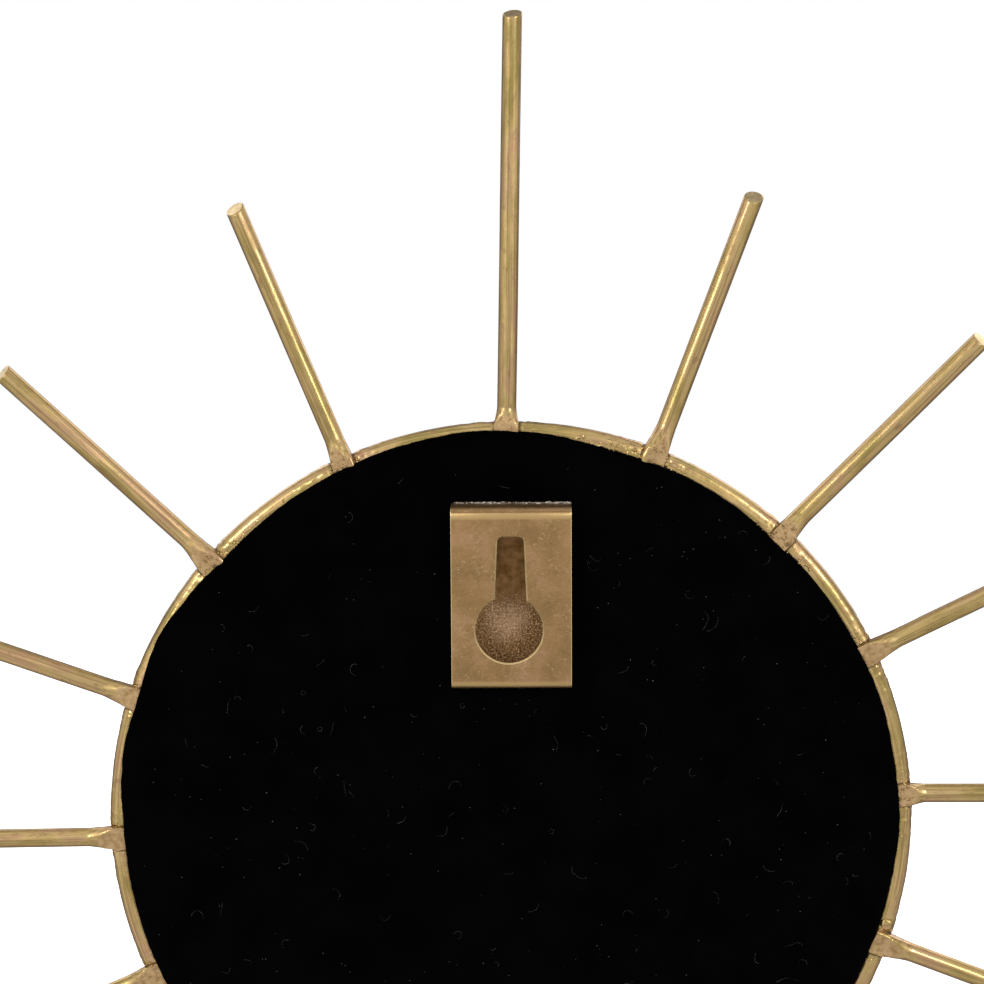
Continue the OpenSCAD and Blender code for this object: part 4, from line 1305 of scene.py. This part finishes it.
def boss(radius, bore, back, front):
    """A hand's round hub about the clock's axis."""
    outline = [(bore, back), (radius, back), (radius, front), (bore, front)]
    return turned(filleted(outline, 0.08 * MM, 2), 96)


# Half widths of a lance-shaped hand in millimetres, at shares of its length; -1 is the end of its tail.
LANCE = [(-1, 0.9), (-0.5, 0.8), (0.08, 0.9), (0.2, 1.0), (0.45, 1.75), (0.62, 2.4), (0.8, 1.5),
         (0.93, 0.6), (1.0, 0.12)]
THIN = [(-1, 0.6), (-0.3, 0.55), (0.1, 0.5), (0.6, 0.35), (1.0, 0.2)]
PIN_R = 0.03 * MM           # the bore left in the seconds hand's hub
WEIGHT_AT = 12 * MM         # how far behind the axis the seconds hand's counterweight sits


def hands():
    """Three hands: two black lances and a thin brass seconds hand with a round counterweight."""
    # For each lance: its width as a share of the pattern's, its tail and its hub's radius in millimetres.
    for name, body, scale, tail, hub in (("hour_hand", "hour_train", 1.0, 7, 4.2),
                                         ("minute_hand", "minute_train", 0.8, 8, 3.4)):
        bore, _, back, front = reach(name)
        widths = [(share, half * scale) for share, half in LANCE]
        parts = [blade(name, widths, back, front - back, tail * MM), boss(hub * MM, bore, back, front)]
        piece(name + "_blade", *merged(parts), "hand_black", body, [name], sharp=20)
    _, _, back, front = reach("second_hand")
    blade_back, blade_front = back + 0.3 * MM, front - 0.3 * MM
    out, _ = hand_direction("second_hand")
    parts = [blade("second_hand", THIN, blade_back, blade_front - blade_back, 15 * MM),
             boss(2.2 * MM, PIN_R, blade_back, blade_front), boss(1.3 * MM, PIN_R, back, front)]
    weight_verts, weight_faces = boss(2.0 * MM, PIN_R, blade_back - 0.02 * MM, blade_front + 0.02 * MM)
    shift = Vector((-out.x * WEIGHT_AT, 0, -out.y * WEIGHT_AT))
    parts.append(([v + shift for v in weight_verts], weight_faces))
    piece("second_hand_blade", *merged(parts), "small_brass", "second_train", ["second_hand"], sharp=20)


# ---- Studio ----

CAMERA_AT = Vector((-0.0041, 0.4874, 0.0982))
CAMERA_AIM = Vector((0.0028, -0.0081, 0.0219))
CAMERA_ROLL = -0.34         # degrees
CAMERA_LENS = 109.8         # millimetres, on the usual 36 mm sensor


def camera():
    """The camera behind the clock, a little above it."""
    data = bpy.data.cameras.new("camera")
    data.lens = CAMERA_LENS
    data.clip_start = 0.01
    made = bpy.data.objects.new("camera", data)
    bpy.context.scene.collection.objects.link(made)
    look = (CAMERA_AIM - CAMERA_AT).to_track_quat("-Z", "Y").to_matrix().to_4x4()
    roll = Matrix.Rotation(math.radians(CAMERA_ROLL), 4, "Z")
    made.matrix_world = Matrix.Translation(CAMERA_AT) @ look @ roll
    bpy.context.scene.camera = made


LAMP_AIM = Vector((0, 0, -0.03))


def lamp(name, at, size, power):
    """A soft square lamp that faces the clock."""
    data = bpy.data.lights.new(name, "AREA")
    data.size, data.energy = size, power
    made = bpy.data.objects.new(name, data)
    bpy.context.scene.collection.objects.link(made)
    look = (LAMP_AIM - Vector(at)).to_track_quat("-Z", "Y").to_matrix().to_4x4()
    made.matrix_world = Matrix.Translation(at) @ look


def world():
    """White to the eye, and to everything else a soft grey tent."""
    made = bpy.data.worlds.new("studio")
    bpy.context.scene.world = made
    w = Nodes(made)
    x, y, z = w.node("SeparateXYZ", {"Vector": w.node("TexCoord", {}).outputs["Generated"]}).outputs
    # An even tent that falls off behind the dial's plane, and a little towards the floor and -X.
    front = w.fit(y, -0.75, 0.1, 0.22, 0.60, "SMOOTHSTEP")
    slope = w.math("ADD", w.math("MULTIPLY", z, 0.12), w.math("MULTIPLY", x, 0.08))
    strength = w.math("MULTIPLY", front, w.math("ADD", 1.0, slope))
    lit = w.node("Background", {"Color": (1, 1, 1), "Strength": strength}).outputs[0]
    seen = w.node("Background", {"Color": (1, 1, 1), "Strength": 1.0}).outputs[0]
    to_camera = w.node("LightPath", {}).outputs["Is Camera Ray"]
    mixed = w.node("MixShader", {0: to_camera, 1: lit, 2: seen})
    w.node("OutputWorld", {"Surface": mixed.outputs[0]})


def studio_floor():
    """A plain pale floor under the clock."""
    made = bmesh.new()
    bmesh.ops.create_circle(made, cap_ends=True, segments=96, radius=1.6)
    floor = loose_object("studio_floor", made)
    floor.location = (0, 0, cad_box[0].z - 0.14)
    s = Shader("studio_floor", Roughness=0.9, Specular_IOR_Level=0.1, Emission_Color=(1, 1, 1, 1),
               Emission_Strength=0.9)
    tone = s.noise(s.object_mm(), 0.004, 2.0)
    s.set(Base_Color=s.ramp(tone, (0.3, (0.90, 0.90, 0.90)), (0.7, (0.93, 0.93, 0.93))))
    floor.data.materials.append(s.material)
    floor.visible_glossy = False


# ---- Everything together ----

camera()
world()
studio_floor()
lamp("wall_side_left", (0.74, 0.86, 0.42), 0.30, 2.3)
lamp("wall_side_right", (-0.74, 0.86, 0.42), 0.30, 2.3)
lamp("front_left", (-0.75, -1.1, 0.6), 1.1, 5.0)
lamp("front_right", (0.75, -1.1, 0.7), 0.9, 3.0)

slot_of = {part["node"]: part["material_slot"] for part in frame["record"]["subparts"]}
for name, node in frame["nodes"].items():
    node.data.materials.clear()
    node.data.materials.append(MATERIALS[slot_of[name]])

ring_piece()
for name in RAYS:
    ray_piece(name)
braze_piece()
cover = velvet_piece()
fuzz = fuzz_piece()
lint_threads = lint_piece()
hanger_piece()
solder_piece()
bezel_piece()
lens_piece()
dial_marks_piece()
numerals_piece()
hands()

bpy.context.scene.view_settings.view_transform = "Standard"
